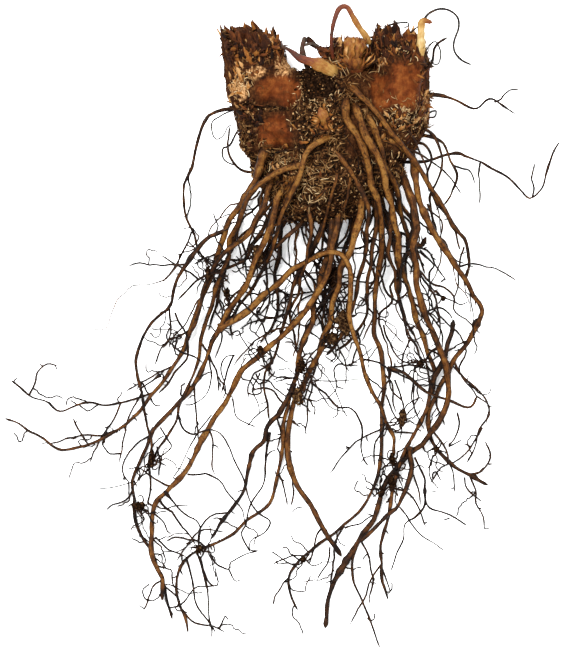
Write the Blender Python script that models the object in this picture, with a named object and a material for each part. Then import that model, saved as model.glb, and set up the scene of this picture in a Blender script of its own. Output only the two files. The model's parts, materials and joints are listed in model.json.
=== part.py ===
"""A bare-root astilbe: a woody crown of three knobs, its roots and its shoots, lying on a flat surface.

The plant lies on its back, as it was lifted and washed: +Y runs from the root tips to the shoots, +X to
the right and +Z up. The origin is the middle of the flat spot that the crown rests on.
Units are metres. The tables of routes are in millimetres and are turned into metres as they are read.
"""

import math

import bmesh
import bpy
import numpy as np
from mathutils import Vector
from mathutils.bvhtree import BVHTree

MM = 0.001

# Driving sizes of the crown
REST_HEIGHT = 11.3 * MM          # height of the crown's middle above the surface
BODY_SIDES = 22
KNOB_SIDES = 16
CRATER_DEPTH = 3.5 * MM          # how deep each old stem base has rotted out
CRATER_RIM = 0.72                # width of the crater as a share of the knob
RIDGE_HEIGHT = 0.115             # relief of the bark as a share of the radius

# Driving sizes of the roots
ROOT_SIDES = 5
BRANCH_SIDES = 4
SHOOT_SIDES = 6
ROOTLET_SIDES = 3
CLEARANCE = 0.35 * MM            # free space kept between two separate pieces
SOCKET_CLEARANCE = 0.3 * MM      # free space round a root where it stands in the crown
SOCKET_SLACK = 1.6               # growth of a clod's socket, in clearances
ROOTLET_COUNT_PER_METRE = 48
ROOTLET_RADIUS = (0.46 * MM, 0.36 * MM)
ROOTLET_LENGTH = (9 * MM, 24 * MM)
ROOTLET_STEPS = 4
ROOTLET_SEED = 7
ROOTLET_START_GAP = 1.0 * MM     # free space beside a rootlet's first stretch
SPREAD = (-95, 69, -147)         # furthest left, right and down that rootlets reach, in mm
BARE_SHARE = 0.22                # the part of each root next to the crown that has no rootlets
ROOT_STEP = 5.0 * MM             # distance between the rings of a root
SHOOT_STEP = 3.5 * MM
EMERGE_LENGTH = 14 * MM          # run of a root inside the crown
FACE_HEIGHT = 24 * MM            # a root that leaves the crown this high comes out through its face
BEDDING = 0.55                   # height of a root's middle above the face that it lies on, in radii
BED_GAP = 0.2 * MM
HOME_PULL = (0.06, 0.06, 0.05)   # how strongly a pushed root comes back to its route
DROOP_LENGTH = 75 * MM           # run over which a root comes down to the surface
STRAY_LIMIT = 2.2 * MM           # how far a root may be pushed off its route, seen from above
FLOOR_CLEARANCE = 0.1 * MM
TIP_SHARE = 0.35                 # width of a root's very end as a share of its last ring
TAPER = 1.4                      # how much sooner a root thins than evenly along its run
END_MARGIN = 1.2                 # run-on of a socket past a root's ends, as a share of its margin

# How the roots are pushed clear of each other: rounds, stiffness against bending, share of each
# overlap taken away in a round at first and at last, and where the last rounds start
MAIN_ROUNDS = 240
ROOTLET_ROUNDS = 160
MAIN_STIFFNESS = 0.35
ROOTLET_STIFFNESS = 0.3
FIRST_PUSH = 0.6
LAST_PUSH = 0.9
LAST_ROUNDS = 0.75
ROUNDS_BETWEEN_SEARCHES = 8
SEARCH_MARGIN = 2 * MM
GAP_KEPT = 0.3 * MM              # a rootlet that stays nearer than this to another piece is left out

# The crown's body: y, middle x, half width, half thickness
BODY_SECTIONS = [
    (-21.5, -3.5, 7.0, 3.5),
    (-18.5, -2.5, 13.0, 6.6),
    (-14.5, -1.0, 17.5, 9.2),
    (-9.5, 0.5, 20.5, 11.6),
    (-4.0, 1.0, 22.8, 12.5),
    (2.0, 1.5, 24.5, 12.6),
    (8.0, 1.5, 26.2, 12.3),
    (14.0, 1.0, 26.8, 11.3),
    (19.5, 1.0, 26.0, 9.4),
    (23.5, 1.0, 22.0, 6.5),
]

# The three knobs, each an old stem base: x, y, z of the middle and its radius, from the body to the rim
KNOBS = {
    "left": [
        (-14.0, 0.0, 11.0, 8.5),
        (-15.5, 6.0, 11.5, 10.2),
        (-17.0, 12.0, 12.0, 10.8),
        (-18.0, 18.0, 12.5, 10.6),
        (-19.5, 24.0, 12.5, 10.0),
        (-21.0, 29.5, 12.5, 9.6),
        (-22.2, 33.5, 12.5, 8.6),
    ],
    "middle": [
        (3.0, 8.0, 11.0, 8.0),
        (3.5, 14.0, 11.5, 9.0),
        (4.5, 20.0, 11.5, 8.6),
        (6.0, 25.5, 11.0, 7.4),
        (7.2, 30.5, 11.0, 6.4),
    ],
    "right": [
        (19.0, -1.0, 11.0, 7.5),
        (20.5, 6.0, 11.5, 9.0),
        (21.3, 13.0, 12.0, 9.6),
        (21.8, 20.0, 12.0, 9.3),
        (22.3, 27.0, 12.0, 8.8),
        (22.3, 33.0, 12.0, 7.4),
    ],
}

# How far each rim stands back, in mm for each mm towards the left and towards the front
RIM_SLANT = {"left": (0.52, -0.30), "middle": (0.10, -0.15), "right": (0.22, -0.28)}
RIM_BLEND = 11.0 * MM            # run below the rim over which the slant comes in

# The torn leaf bases round each rim: number, length and the lean away from the knob's axis
SHREDS = {"left": (19, 5.6, 0.30), "middle": (12, 3.6, 0.35), "right": (15, 4.8, 0.22)}
SHRED_SEED = 3
SHRED_ROOT = 3.2                 # depth that a leaf base stands in the knob
SHRED_WIDTH = (2.2 * MM, 3.8 * MM)
SHRED_THICKNESS = 1.1 * MM

# Clods of peat held in the crown: middle, half sizes
PEAT = {
    "peat_dark": ((-2.2, 18.2, 18.2), (6.2, 6.4, 5.4)),
    "peat_fibrous": ((-3.2, -9.8, 18.4), (6.2, 6.8, 4.6)),
}

# Each root: heights at its base, where it leaves the crown and at its tip, radii at the crown and at the
# tip, its route seen from above, and its branches. Each branch: the height of its tip, its radii, its
# route, and how far it humps up where it lies over other roots.
ROOTS = [
    ((16, 25, 4), (1.35, 0.60),
     [(6, 22), (8, 18.5), (10.5, 15.5), (13, 12), (16, 8.5), (18.5, 5), (21.5, 2.5), (24.5, -0.5),
      (27.5, -5), (30, -10), (33, -14.5), (36, -19), (39.5, -25), (42.3, -30), (43, -34),
      (42.5, -38.5)], []),
    ((14, 24, 1.5), (1.40, 0.45),
     [(6.5, 19), (7.2, 15), (8.3, 10), (10.5, 4.5), (12.3, -1), (13.6, -6), (14.8, -12), (16.3, -18),
      (17.6, -25), (17.6, -31), (16.2, -37), (15, -43), (14.6, -49), (15, -55), (17.2, -60.5),
      (17.7, -68), (17.6, -76), (17.4, -84), (16.9, -91), (15.6, -98), (13.2, -104), (9.5, -109.5),
      (5.5, -113.5), (0.5, -116.5), (-5, -121), (-9, -125.5), (-11.3, -130), (-10.8, -134.5),
      (-8.2, -138.2)], []),
    ((14, 25, 7), (1.30, 0.80),
     [(9.5, 14), (12, 9), (14.5, 4), (16.8, -2), (19, -7.5), (21, -13), (22.3, -19), (24, -25),
      (26.2, -28.3), (28.8, -29.2), (31, -28), (30.3, -26.2)], []),
    ((14, 24.5, 2), (1.45, 0.50),
     [(8.8, 17), (10.3, 11.5), (12.6, 5.5), (14.6, 0), (16.6, -5), (18.2, -10.5), (19.4, -16),
      (20.3, -22), (21.6, -29), (23.2, -36), (25.2, -43), (27.3, -49.5), (29.4, -55.5), (31.6, -61.5),
      (32.7, -67), (32, -73), (30, -79), (27.2, -85), (24, -91), (21.4, -97), (20.2, -103),
      (19.6, -109), (18.2, -115), (17, -121), (17, -127), (18, -131.5), (19, -135.2)],
     [(4, (1.1, 1.0), [(31.8, -73.5), (33.2, -69), (35.3, -64.5), (37, -59.5), (38, -54.5),
                       (38.7, -51)])]),
    ((10, 20, 2), (1.25, 0.90),
     [(20, -1), (22, -6), (24.3, -11), (26, -16), (26.3, -22), (26.8, -29), (27.3, -36), (28.2, -43),
      (30.2, -50), (33, -56.5), (35.8, -62.5), (37, -68.5), (37.4, -74.5), (36, -80), (32.5, -85),
      (28, -89), (24, -93), (20.5, -97), (17.5, -102.5), (15.8, -107.5), (13.5, -112.5), (10.2, -118),
      (6.3, -123.3), (3.6, -128.8), (1.9, -134.5), (0.6, -139.5), (0.1, -143.6)],
     [(2, (0.5, 0.35), [(9.6, -118.8), (8.7, -124), (9, -129), (10.5, -134), (12.6, -140), (14.6, -145),
                        (16.5, -149.5)])]),
    ((10, 19, 1.5), (1.30, 0.70),
     [(25, 3), (26.5, -3), (27.5, -9), (29, -15), (31.3, -21.5), (34.6, -28), (38.4, -34), (42, -39.3),
      (44.8, -43.7), (46.4, -48.3), (45.6, -52.3), (42.9, -57), (40, -61), (37.6, -64.2), (35, -69),
      (33, -75), (31, -80.5), (32, -86), (34.6, -90.6), (38, -94.3), (42.3, -97.2), (46, -99.5),
      (49, -100.6)],
     [(1.5, (0.42, 0.34), [(38.6, -63), (40.5, -67), (44, -71), (47.5, -74.5), (50.2, -78.3),
                           (48.8, -81.8), (46.2, -85), (45, -90), (42.7, -94)]),
      (1.5, (0.42, 0.34), [(43, -97.6), (47.5, -96.5), (50, -93.5), (50, -90.5), (48.2, -87.5)])]),
    ((10, 18, 2), (1.40, 0.90),
     [(10, -6), (11, -13), (10.6, -19), (9, -25.5), (6.8, -32), (4.6, -38), (3.2, -44), (1.8, -50),
      (0.2, -55.5), (-2.2, -61), (-5, -66.5), (-7.6, -71.5), (-9.6, -77), (-10.9, -83), (-11, -89.5),
      (-10.3, -95.5), (-8, -101.5), (-4.6, -106.5), (-1.8, -111), (0.8, -115.8), (3.2, -119.6),
      (5, -122)], []),
    ((9, 15, 1.5), (1.30, 0.45),
     [(3, -10), (2.2, -17), (2, -24), (0.8, -31), (-1.2, -37.5), (-2.6, -44), (-3.6, -50),
      (-5.5, -55.5), (-7.2, -61), (-8, -66.5), (-9.5, -72), (-12.2, -77.5), (-12.8, -84), (-13.1, -91),
      (-14.2, -98), (-15.8, -104.5), (-17.5, -107.5), (-21, -110), (-25, -112.8), (-29.5, -115.8),
      (-34, -118.3), (-38.3, -120.6), (-41.8, -122.6), (-44, -126), (-44.6, -131), (-43.6, -136.4),
      (-41.8, -141), (-41.2, -145.2)],
     [(2, (1.0, 0.6), [(-8.9, -70), (-11.4, -76), (-16, -82), (-17.5, -87.5), (-21.9, -91.5),
                       (-22.8, -95.5), (-23.8, -100), (-26.5, -105), (-29.5, -109.5), (-32, -113.5),
                       (-34.4, -117)])]),
    ((9, 17, 1.5), (1.25, 0.80),
     [(5, -9), (4.6, -15), (3.8, -21.5), (2.6, -28), (1, -34.5), (-1.6, -41), (-5, -47), (-9, -52),
      (-13.5, -56.3), (-18, -60.2), (-22, -64.2), (-26, -68.6), (-29.4, -73.5), (-32.3, -79),
      (-36, -84.5), (-38.2, -90), (-40.6, -94.6), (-43, -98.5), (-47.6, -102), (-50.2, -104.4),
      (-51.9, -108.5), (-51.5, -113), (-51.8, -118), (-50.8, -123), (-49.4, -128), (-48.6, -132.5),
      (-48.7, -135.2)], []),
    ((8, 13, 2), (1.15, 0.40),
     [(1, -12), (0, -19), (-2, -26), (-5, -32), (-8, -37.5), (-9.5, -42.5), (-11, -47.5),
      (-12.4, -52.5), (-13.8, -57.5), (-15.5, -62), (-17.5, -66.5), (-18.3, -71), (-17.6, -76),
      (-16.8, -81)], []),
    ((12, 25, 1.5), (1.35, 0.50),
     [(-12, -8), (-14.5, -17), (-17, -24), (-20, -30.5), (-22.3, -36.5), (-25.3, -42), (-28.4, -47),
      (-31, -51.6), (-33, -56), (-35.5, -61.5), (-38, -67), (-41, -72.5), (-45.6, -78), (-50.3, -82.6),
      (-53.6, -88), (-56, -93.5), (-57.6, -99), (-58, -105), (-57.2, -111), (-54.8, -116.8),
      (-52, -121.8), (-49.8, -127), (-48.2, -132), (-47, -137), (-46, -141)],
     [(3, (1.05, 0.6), [(-31.8, -53.4), (-28, -51.2), (-23, -47.6), (-18, -43.6), (-13, -39.5),
                        (-8.3, -35.4), (-4, -32.2), (-0.5, -30.5), (3.4, -30.6), (6.3, -33),
                        (7.6, -37.5), (8.4, -42.4), (7.4, -47.3), (7.8, -52), (9.6, -58.4), (12, -67),
                        (14.4, -73), (17.8, -80.6), (20.1, -86.5), (20.8, -92)], 10)]),
    ((12, 25, 1.5), (1.50, 0.40),
     [(-16, 4), (-18, -2), (-20, -8), (-22.8, -12.6), (-25.8, -17), (-28.3, -21.5), (-30.2, -26.5),
      (-31.5, -32), (-33.5, -37.5), (-36, -43), (-38, -48.5), (-40, -54), (-42.4, -59), (-45.4, -64),
      (-49, -69.3), (-53, -74.2), (-57, -78.8), (-61, -83), (-65.5, -86.5), (-71, -89), (-76, -90),
      (-81.5, -89.3), (-85.3, -87), (-88.5, -84.3), (-92, -82.4), (-96.3, -80.6)],
     [(1.5, (0.5, 0.34), [(-52, -73), (-56, -74.2), (-61, -76.2), (-67, -77), (-71.5, -76),
                          (-76, -77.3), (-81, -78.3), (-83, -76.3), (-86, -74.5), (-89, -74),
                          (-90.6, -71.2), (-93.6, -71.6), (-94.5, -69.2)]),
      (2, (0.85, 0.4), [(-29.2, -24), (-34, -26), (-38.3, -29), (-41.4, -33.3), (-43.8, -38.5),
                        (-45.4, -43.3), (-46.4, -47), (-49, -49.6), (-52.3, -54), (-55, -59),
                        (-56.9, -64), (-56, -68.5), (-54.7, -73), (-54.2, -78), (-52.8, -83),
                        (-51.9, -88), (-51.8, -93), (-52.3, -98), (-53, -103), (-53.4, -106.5)]),
      (2, (0.4, 0.34), [(-71, -88.8), (-73, -86.5), (-75, -82.5), (-75.8, -80.5)])]),
    ((11, 24, 1.5), (1.20, 0.40),
     [(-15, -5), (-18.6, -16), (-21.5, -23.5), (-26, -27.5), (-30.5, -30.8), (-33, -35), (-35.3, -40),
      (-37, -45), (-38.2, -50), (-40, -54.5), (-41, -58), (-41.8, -62), (-44, -66), (-47, -70),
      (-50, -73)], []),
    ((8, 11, 3), (1.00, 0.40),
     [(-11, -10), (-17.4, -21.5), (-21, -28), (-24, -32.6), (-29, -34.6), (-34, -36.8), (-38, -38.6),
      (-41.8, -41.6), (-44.2, -45)], []),
    ((18, 25, 2), (1.30, 0.45),
     [(-1, -5), (-5.5, -4.8), (-10, -5.2), (-14.5, -7), (-18.5, -9.3), (-22, -13), (-24.5, -17.5),
      (-26.3, -22), (-28.2, -27), (-30, -32.5), (-31.5, -38), (-33, -43), (-34.8, -48), (-36.2, -53),
      (-36.8, -58), (-37.6, -63.5), (-40.5, -70), (-43.4, -76), (-45, -81), (-48.4, -85.6),
      (-50.8, -89), (-52, -94)], []),
    ((19, 25, 3), (1.20, 0.55),
     [(4.5, 4), (1, 3), (-2.8, 1.6), (-5.4, -1), (-6.8, -5), (-8.4, -9.5), (-10.4, -14), (-12, -18),
      (-13.5, -23), (-15.5, -29), (-17.5, -34), (-20.5, -39), (-24, -44), (-27.3, -48.3),
      (-29.6, -52)], []),
    ((9, 14, 3), (0.95, 0.45),
     [(-2, -14), (-4.5, -19), (-8, -23.2), (-12, -26.4), (-15.6, -29.2), (-19.4, -32.6), (-22.6, -37),
      (-25.5, -41), (-29, -45.5)], []),
    ((16, 19, 3), (0.95, 0.40),
     [(-5, -8), (-5.8, -13), (-4.8, -18.5), (-4.2, -24), (-4.6, -29), (-6, -33.5), (-7.2, -38.5),
      (-8.6, -43.5), (-10.4, -50), (-9, -56), (-8.4, -61)], []),
    ((20, 24, 3), (1.10, 0.60),
     [(-1, 1), (2.6, -1.4), (6, -4.6), (8.6, -9), (11, -13.5), (12.6, -19), (12.9, -25), (12.3, -31),
      (10.6, -36.5), (9.8, -42), (8, -47.5), (6, -52), (5, -56), (2.5, -60), (0.5, -61.5)], []),
    ((10, 14, 2), (1.00, 0.50),
     [(14, -8), (15, -15), (15.6, -21), (14.6, -27), (13.6, -33), (12.8, -39), (13, -46), (12, -52),
      (8, -57), (3, -60.5)], []),
    ((9, 15, 2), (1.10, 0.40),
     [(18, -6), (19.8, -12), (20.2, -18), (19.4, -24), (18.6, -30), (19.6, -36), (21.4, -42),
      (22.8, -47), (23.8, -51.5), (25.6, -56), (27.4, -58.8), (28.6, -62.5)], []),
    ((9, 12, 5), (0.60, 0.38),
     [(25, 4.5), (31, 4), (34.6, 1.6), (37.4, -2), (38.8, -5.8), (40.2, -8.6), (39.2, -12), (38, -15),
      (35.6, -16.6)], []),
    ((8, 10, 6), (0.58, 0.38),
     [(24, 2), (29.4, 1.8), (31.6, -0.8), (32, -3.8), (31, -6.8), (30.4, -9.5), (31.3, -12.5)], []),
    ((12, 15, 5), (0.62, 0.38),
     [(25, 7.5), (31.5, 6.3), (33.8, 2.8), (35, -1.6), (35, -6), (34, -9.6), (32.2, -12.4), (31, -16),
      (32.4, -20.5), (33.6, -24)], []),
    ((7, 8, 2), (0.60, 0.36),
     [(21, -4), (27, -3.2), (31, -3.4), (35, -2.2), (39, -0.3), (43.2, -1.6), (48, -5), (53.4, -7.8),
      (56.4, -10.4), (58.8, -12.6), (60.8, -15), (62.6, -14), (65, -12), (66.6, -9), (66.8, -5),
      (68, -1.6), (70, 1), (70.7, 2.8)], []),
    ((12, 13, 3), (0.65, 0.36),
     [(26, 15), (31, 16.3), (36, 16.5), (40.3, 15), (43.6, 13.2), (46.5, 12.5), (48.2, 14), (51, 16),
      (52.2, 14.5), (54.6, 12.7), (57.2, 11)], []),
    ((12, 13, 3), (0.80, 0.38),
     [(-24, 11.6), (-29, 12.2), (-32.6, 10.8), (-35.8, 8), (-37.9, 4), (-39.3, -1.5), (-41, -7),
      (-42.1, -12.5), (-42.2, -17.5), (-41, -22), (-39.6, -26), (-38, -29.8), (-35, -33.4),
      (-31.4, -37), (-28.6, -40)], []),
    ((8, 9, 6), (0.55, 0.36),
     [(-20, -7), (-25.5, -5.5), (-28, -2.5), (-29.4, 0.6), (-29.2, 4), (-28.6, 7)], []),
    ((12, 14, 14), (0.55, 0.45), [(27, 23), (31.2, 26), (31.6, 29.6), (33.2, 31.8), (36.6, 33.6)], []),
    ((5, 3, 1.2), (1.10, 0.45),
     [(-9, -11), (-12, -17), (-13, -24), (-14, -31), (-15, -38), (-14.5, -45), (-16, -52),
      (-19.5, -58)], []),
    ((5, 3, 1.2), (1.15, 0.45),
     [(7, -12), (8, -18), (7.5, -25), (5, -32), (3, -39), (0.5, -45), (-3, -51), (-6, -57)], []),
    ((5, 3, 1.2), (1.10, 0.45),
     [(14, -8), (17, -15), (18.5, -22), (20.5, -29), (22, -36), (22, -43), (24, -50), (27, -56)], []),
    ((5, 3, 1.2), (1.05, 0.45),
     [(-17, -6), (-21.5, -12), (-25, -19), (-27, -26), (-29, -33), (-30.5, -40), (-33, -47),
      (-35, -54)], []),
    ((6, 9, 2), (0.95, 0.45),
     [(-8, -12), (-10.5, -18), (-13.5, -24), (-17.5, -29.5), (-21, -34.5), (-24, -40.5), (-27.5, -46),
      (-29.5, -52)], []),
    ((7, 10, 2), (0.75, 0.40),
     [(-11, -12), (-14, -20), (-16.6, -27), (-18, -33), (-17.5, -39), (-18.5, -45), (-20.8, -50)], []),
    ((6, 8, 2), (0.80, 0.40),
     [(16, -9), (20.5, -16), (24, -23), (25, -30), (24.6, -37), (26, -44), (28.8, -50)], []),
]

# Each shoot: its route as x, y, z and radius, and its branches
SHOOTS = {
    "shoot_folded": (
        [(3, 24, 14, 0.7), (2.2, 29, 17.5, 0.45), (1.8, 33, 19, 0.5), (2.6, 38, 20, 0.8),
         (4.4, 42, 20, 0.8), (5.5, 43.4, 20, 0.75), (7.4, 41, 20, 0.8), (10, 37, 19.5, 0.9),
         (12.2, 34, 18.5, 0.95), (13.4, 31.5, 17, 0.6)], []),
    "shoot_pale": (
        [(26.5, 24, 14, 1.0), (28.3, 29, 16, 1.25), (28.6, 33.5, 17, 1.2), (28.9, 37.5, 17.3, 1.15),
         (30.2, 39.3, 17.4, 1.0), (32, 38, 17.4, 0.55)],
        [[(29.0, 37.6, 17.3, 0.5), (30.6, 40.4, 17.6, 0.45), (33, 42, 17.6, 0.4), (36.4, 42, 17, 0.38),
          (39, 40.3, 16.5, 0.36), (40, 38, 16, 0.36), (39.4, 34.5, 15, 0.36), (38.4, 31, 14, 0.36),
          (40, 28, 13, 0.34), (42.2, 25.8, 12, 0.34), (43.8, 25.5, 12, 0.33)]]),
    "bud_red_tip": (
        [(4.5, 22, 15, 1.2), (2, 23.6, 20.5, 1.9), (-1, 25, 22, 2.1), (-4, 26.2, 22, 1.7),
         (-7, 27.2, 22, 1.4), (-9.5, 28.8, 21.8, 0.8), (-13, 30.8, 23.2, 0.45)], []),
    "bud_sheath": (
        [(8.2, 23.5, 16, 2.4), (8.6, 27, 18.6, 3.6), (9, 30.2, 19.2, 3.9),
         (9.6, 33.3, 18.6, 2.0)], []),
    "bud_front": (
        [(0.5, 6, 19, 1.6), (0, 8.4, 24.4, 2.3), (-0.8, 10.6, 25.6, 1.6),
         (-1.6, 12.4, 25.4, 0.5)], []),
    "stalk_stub": (
        [(-5, 24, 14, 0.8), (-6.4, 28, 16, 0.8), (-6.8, 31, 16.5, 0.75), (-6, 33.8, 16.6, 0.65)],
        [[(-6.7, 31.2, 16.5, 0.45), (-4.6, 31.6, 16.7, 0.4), (-2.6, 31.2, 16.6, 0.6),
          (-1.2, 29.4, 15.6, 0.9)]]),
}

BARK = {"base": (0.30, 0.12, 0.05), "roughness": 0.75}
ROOT_SKIN = {"base": (0.30, 0.14, 0.045), "roughness": 0.6}
SHOOT_SKIN = {"base": (0.72, 0.50, 0.18), "roughness": 0.45}
PEAT_SKIN = {"base": (0.05, 0.03, 0.02), "roughness": 0.95}


def material(name, base, roughness):
    made = bpy.data.materials.new(name)
    made.use_nodes = True
    shader = made.node_tree.nodes["Principled BSDF"]
    shader.inputs["Base Color"].default_value = (*base, 1.0)
    shader.inputs["Roughness"].default_value = roughness
    shader.inputs["Metallic"].default_value = 0.0
    return made


def new_object(name, points, faces):
    mesh = bpy.data.meshes.new(name)
    mesh.from_pydata([tuple(p) for p in points], [], faces)
    mesh.update()
    made = bpy.data.objects.new(name, mesh)
    bpy.context.scene.collection.objects.link(made)
    return made


def bark_relief(angle, along, phase):
    """Relief of the bark as a share of its radius: long ribs, crossed by the rings of old leaves."""
    ribs = math.sin(3 * angle + phase) + 0.8 * math.sin(5 * angle - 2.0 * phase + 1.3 * along)
    rings = 0.8 * math.sin(2.4 * along + phase) + 0.6 * math.sin(7 * angle + 2.9 * along)
    return RIDGE_HEIGHT * (ribs + rings) / 1.6


def lofted_faces(rings, sides):
    """Side faces of a stack of closed rings, with a cap at each end."""
    faces = []
    for ring in range(rings - 1):
        for k in range(sides):
            near, far = ring * sides, (ring + 1) * sides
            after = (k + 1) % sides
            faces.append((near + k, near + after, far + after, far + k))
    faces.append(tuple(reversed(range(sides))))
    faces.append(tuple(range((rings - 1) * sides, rings * sides)))
    return faces


def crown_body():
    """The broad lower part of the crown, a stack of flattened rings along Y."""
    points = []
    for n, (y, x, half_width, half_depth) in enumerate(BODY_SECTIONS):
        for k in range(BODY_SIDES):
            angle = 2 * math.pi * k / BODY_SIDES
            swell = 1 + bark_relief(angle, n, 0.4)
            points.append((
                (x + half_width * swell * math.cos(angle)) * MM,
                y * MM,
                REST_HEIGHT - half_depth * swell * math.sin(angle) * MM,
            ))
    return new_object("crown", points, lofted_faces(len(BODY_SECTIONS), BODY_SIDES))


def slanted(name, sections, point):
    """Moves a point near a knob's rim along Y, so that the rim is torn off at a slant."""
    top = np.array(sections[-1][:3]) * MM
    share = eased((point[1] - top[1]) / RIM_BLEND + 1)
    left, front = RIM_SLANT[name]
    return point + np.array((0, share * (left * (top[0] - point[0]) + front * (point[2] - top[2])), 0))


def crown_knob(name, sections, phase):
    """One old stem base, with a rotted crater at its top."""
    middle = np.array([s[:3] for s in sections]) * MM
    radius = np.array([s[3] for s in sections]) * MM
    axis = middle[-1] - middle[-2]
    axis /= np.linalg.norm(axis)
    middle = np.vstack([middle, middle[-1], middle[-1] - CRATER_DEPTH * axis])
    radius = np.append(radius, [radius[-1] * CRATER_RIM, radius[-1] * CRATER_RIM * 0.6])
    points = []
    for n, (centre, r) in enumerate(zip(middle, radius)):
        ahead = middle[min(n + 1, len(sections) - 1)] - middle[max(n - 1, 0)]
        if n >= len(sections):
            ahead = axis
        across = np.cross(ahead, (0, 0, 1))
        across /= np.linalg.norm(across)
        up = np.cross(across, ahead / np.linalg.norm(ahead))
        for k in range(KNOB_SIDES):
            angle = 2 * math.pi * k / KNOB_SIDES
            swell = 1 + bark_relief(angle, n, phase)
            rim_wave = 0.0
            if n >= len(sections) - 1:
                rim_wave = 1.1 * MM * math.sin(3 * angle + phase) + 0.7 * MM * math.sin(5 * angle)
            spot = centre + r * swell * (math.cos(angle) * across + math.sin(angle) * up) + rim_wave * axis
            points.append(slanted(name, sections, spot))
    return new_object("knob_" + name, points, lofted_faces(len(middle), KNOB_SIDES))


def outwards(obj):
    """Turns every face of a closed mesh outwards."""
    shape = bmesh.new()
    shape.from_mesh(obj.data)
    bmesh.ops.recalc_face_normals(shape, faces=shape.faces)
    shape.to_mesh(obj.data)
    shape.free()


def shred(foot, tip, width, thickness, flat):
    """A torn leaf base: a thin blade from foot to tip, drawn to a point, with its flat side facing flat."""
    along = tip - foot
    side = np.cross(along, flat)
    side /= np.linalg.norm(side)
    out = np.cross(side, along)
    out /= np.linalg.norm(out)
    points = []
    for share, wide, bow in ((0.0, 1.0, 0.0), (0.45, 0.85, 0.12), (0.8, 0.45, 0.1)):
        centre = foot + along * share + out * bow * np.linalg.norm(along)
        for u, v in ((-1, -1), (1, -1), (1, 1), (-1, 1)):
            points.append(centre + side * u * width / 2 * wide + out * v * thickness / 2)
    points.append(tip)
    faces = [(3, 2, 1, 0)]
    for ring in (0, 4):
        faces += [(ring + k, ring + (k + 1) % 4, ring + 4 + (k + 1) % 4, ring + 4 + k) for k in range(4)]
    faces += [(8 + k, 8 + (k + 1) % 4, 12) for k in range(4)]
    made = new_object("shred", points, faces)
    outwards(made)
    return made


def rim_shreds(name, sections, count, length, lean, draw):
    """The torn leaf bases that stand round a knob's rim, at even turns with a seeded scatter."""
    top, below = np.array(sections[-1][:3]), np.array(sections[-2][:3])
    axis = (top - below) / np.linalg.norm(top - below)
    across = np.cross(axis, (0, 0, 1))
    across /= np.linalg.norm(across)
    up = np.cross(across, axis)
    radius = sections[-1][3]
    for n in range(count):
        angle = 2 * math.pi * (n + draw.uniform(-0.3, 0.3)) / count
        out = math.cos(angle) * across + math.sin(angle) * up
        foot = slanted(name, sections, (top + out * radius * 0.84 - axis * SHRED_ROOT) * MM)
        reach = length * draw.uniform(0.3, 1.0)
        lift = axis * (SHRED_ROOT + reach) + out * reach * (lean + draw.uniform(-0.12, 0.2))
        yield shred(foot, foot + lift * MM, draw.uniform(*SHRED_WIDTH), SHRED_THICKNESS, out)


def joined(base, others):
    """One closed body: base with the others fused to it by a Boolean union."""
    pieces = bpy.data.collections.new("pieces")
    for other in others:
        bpy.context.scene.collection.objects.unlink(other)
        pieces.objects.link(other)
    bpy.context.scene.collection.children.link(pieces)
    if others:
        union = base.modifiers.new("union", "BOOLEAN")
        union.operation = "UNION"
        union.operand_type = "COLLECTION"
        union.collection = pieces
        union.solver = "EXACT"
        apply_modifiers(base)
    for other in others:
        bpy.data.objects.remove(other)
    bpy.data.collections.remove(pieces)
    return base


def apply_modifiers(obj):
    """Keeps the mesh that the object's modifiers make, and drops the modifiers."""
    bpy.context.view_layer.update()
    seen = obj.evaluated_get(bpy.context.evaluated_depsgraph_get())
    mesh = bpy.data.meshes.new_from_object(seen)
    obj.modifiers.clear()
    obj.data = mesh


def cut(base, cutter):
    """Takes the cutter's shape out of base and removes the cutter."""
    less = base.modifiers.new("cut", "BOOLEAN")
    less.operation = "DIFFERENCE"
    less.object = cutter
    less.solver = "EXACT"
    apply_modifiers(base)
    bpy.data.objects.remove(cutter)


def make_crown():
    """The woody crown: body, knobs and torn leaf bases in one, cut flat where it rests."""
    body = crown_body()
    draw = np.random.default_rng(SHRED_SEED)
    pieces = []
    beds = [bed_of(body)]
    for n, (name, sections) in enumerate(KNOBS.items()):
        pieces.append(crown_knob(name, sections, 1.7 * n))
        beds.append(bed_of(pieces[-1]))
        outwards(pieces[-1])
        count, length, lean = SHREDS[name]
        pieces += rim_shreds(name, sections, count, length, lean, draw)
    outwards(body)
    crown = joined(body, pieces)
    bpy.ops.mesh.primitive_cube_add(size=1, location=(0, 0, -10 * MM))
    ground = bpy.context.object
    ground.scale = (0.3, 0.3, 20 * MM)
    cut(crown, ground)
    return crown, beds


def bed_of(shell):
    """The faces of a shell, for finding how high it stands at a place seen from above."""
    points = [vertex.co.copy() for vertex in shell.data.vertices]
    return BVHTree.FromPolygons(points, [tuple(face.vertices) for face in shell.data.polygons])


def peat_clod(name, centre, half, grow=0.0):
    """A clod of peat: a ball stretched to the half sizes, with a crumbly surface, and grown by a margin."""
    shape = bmesh.new()
    bmesh.ops.create_icosphere(shape, subdivisions=3, radius=1.0)
    for vertex in shape.verts:
        x, y, z = vertex.co
        crumble = 0.07 * math.sin(9 * x + 2 * y) + 0.07 * math.sin(8 * y - 3 * z)
        crumble += 0.05 * math.sin(13 * z + 5 * x)
        vertex.co = [(c + h * (1 + crumble) * v) * MM + SOCKET_SLACK * grow * v
                     for c, h, v in zip(centre, half, (x, y, z))]
    mesh = bpy.data.meshes.new(name)
    shape.to_mesh(mesh)
    shape.free()
    made = bpy.data.objects.new(name, mesh)
    bpy.context.scene.collection.objects.link(made)
    return made


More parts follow.
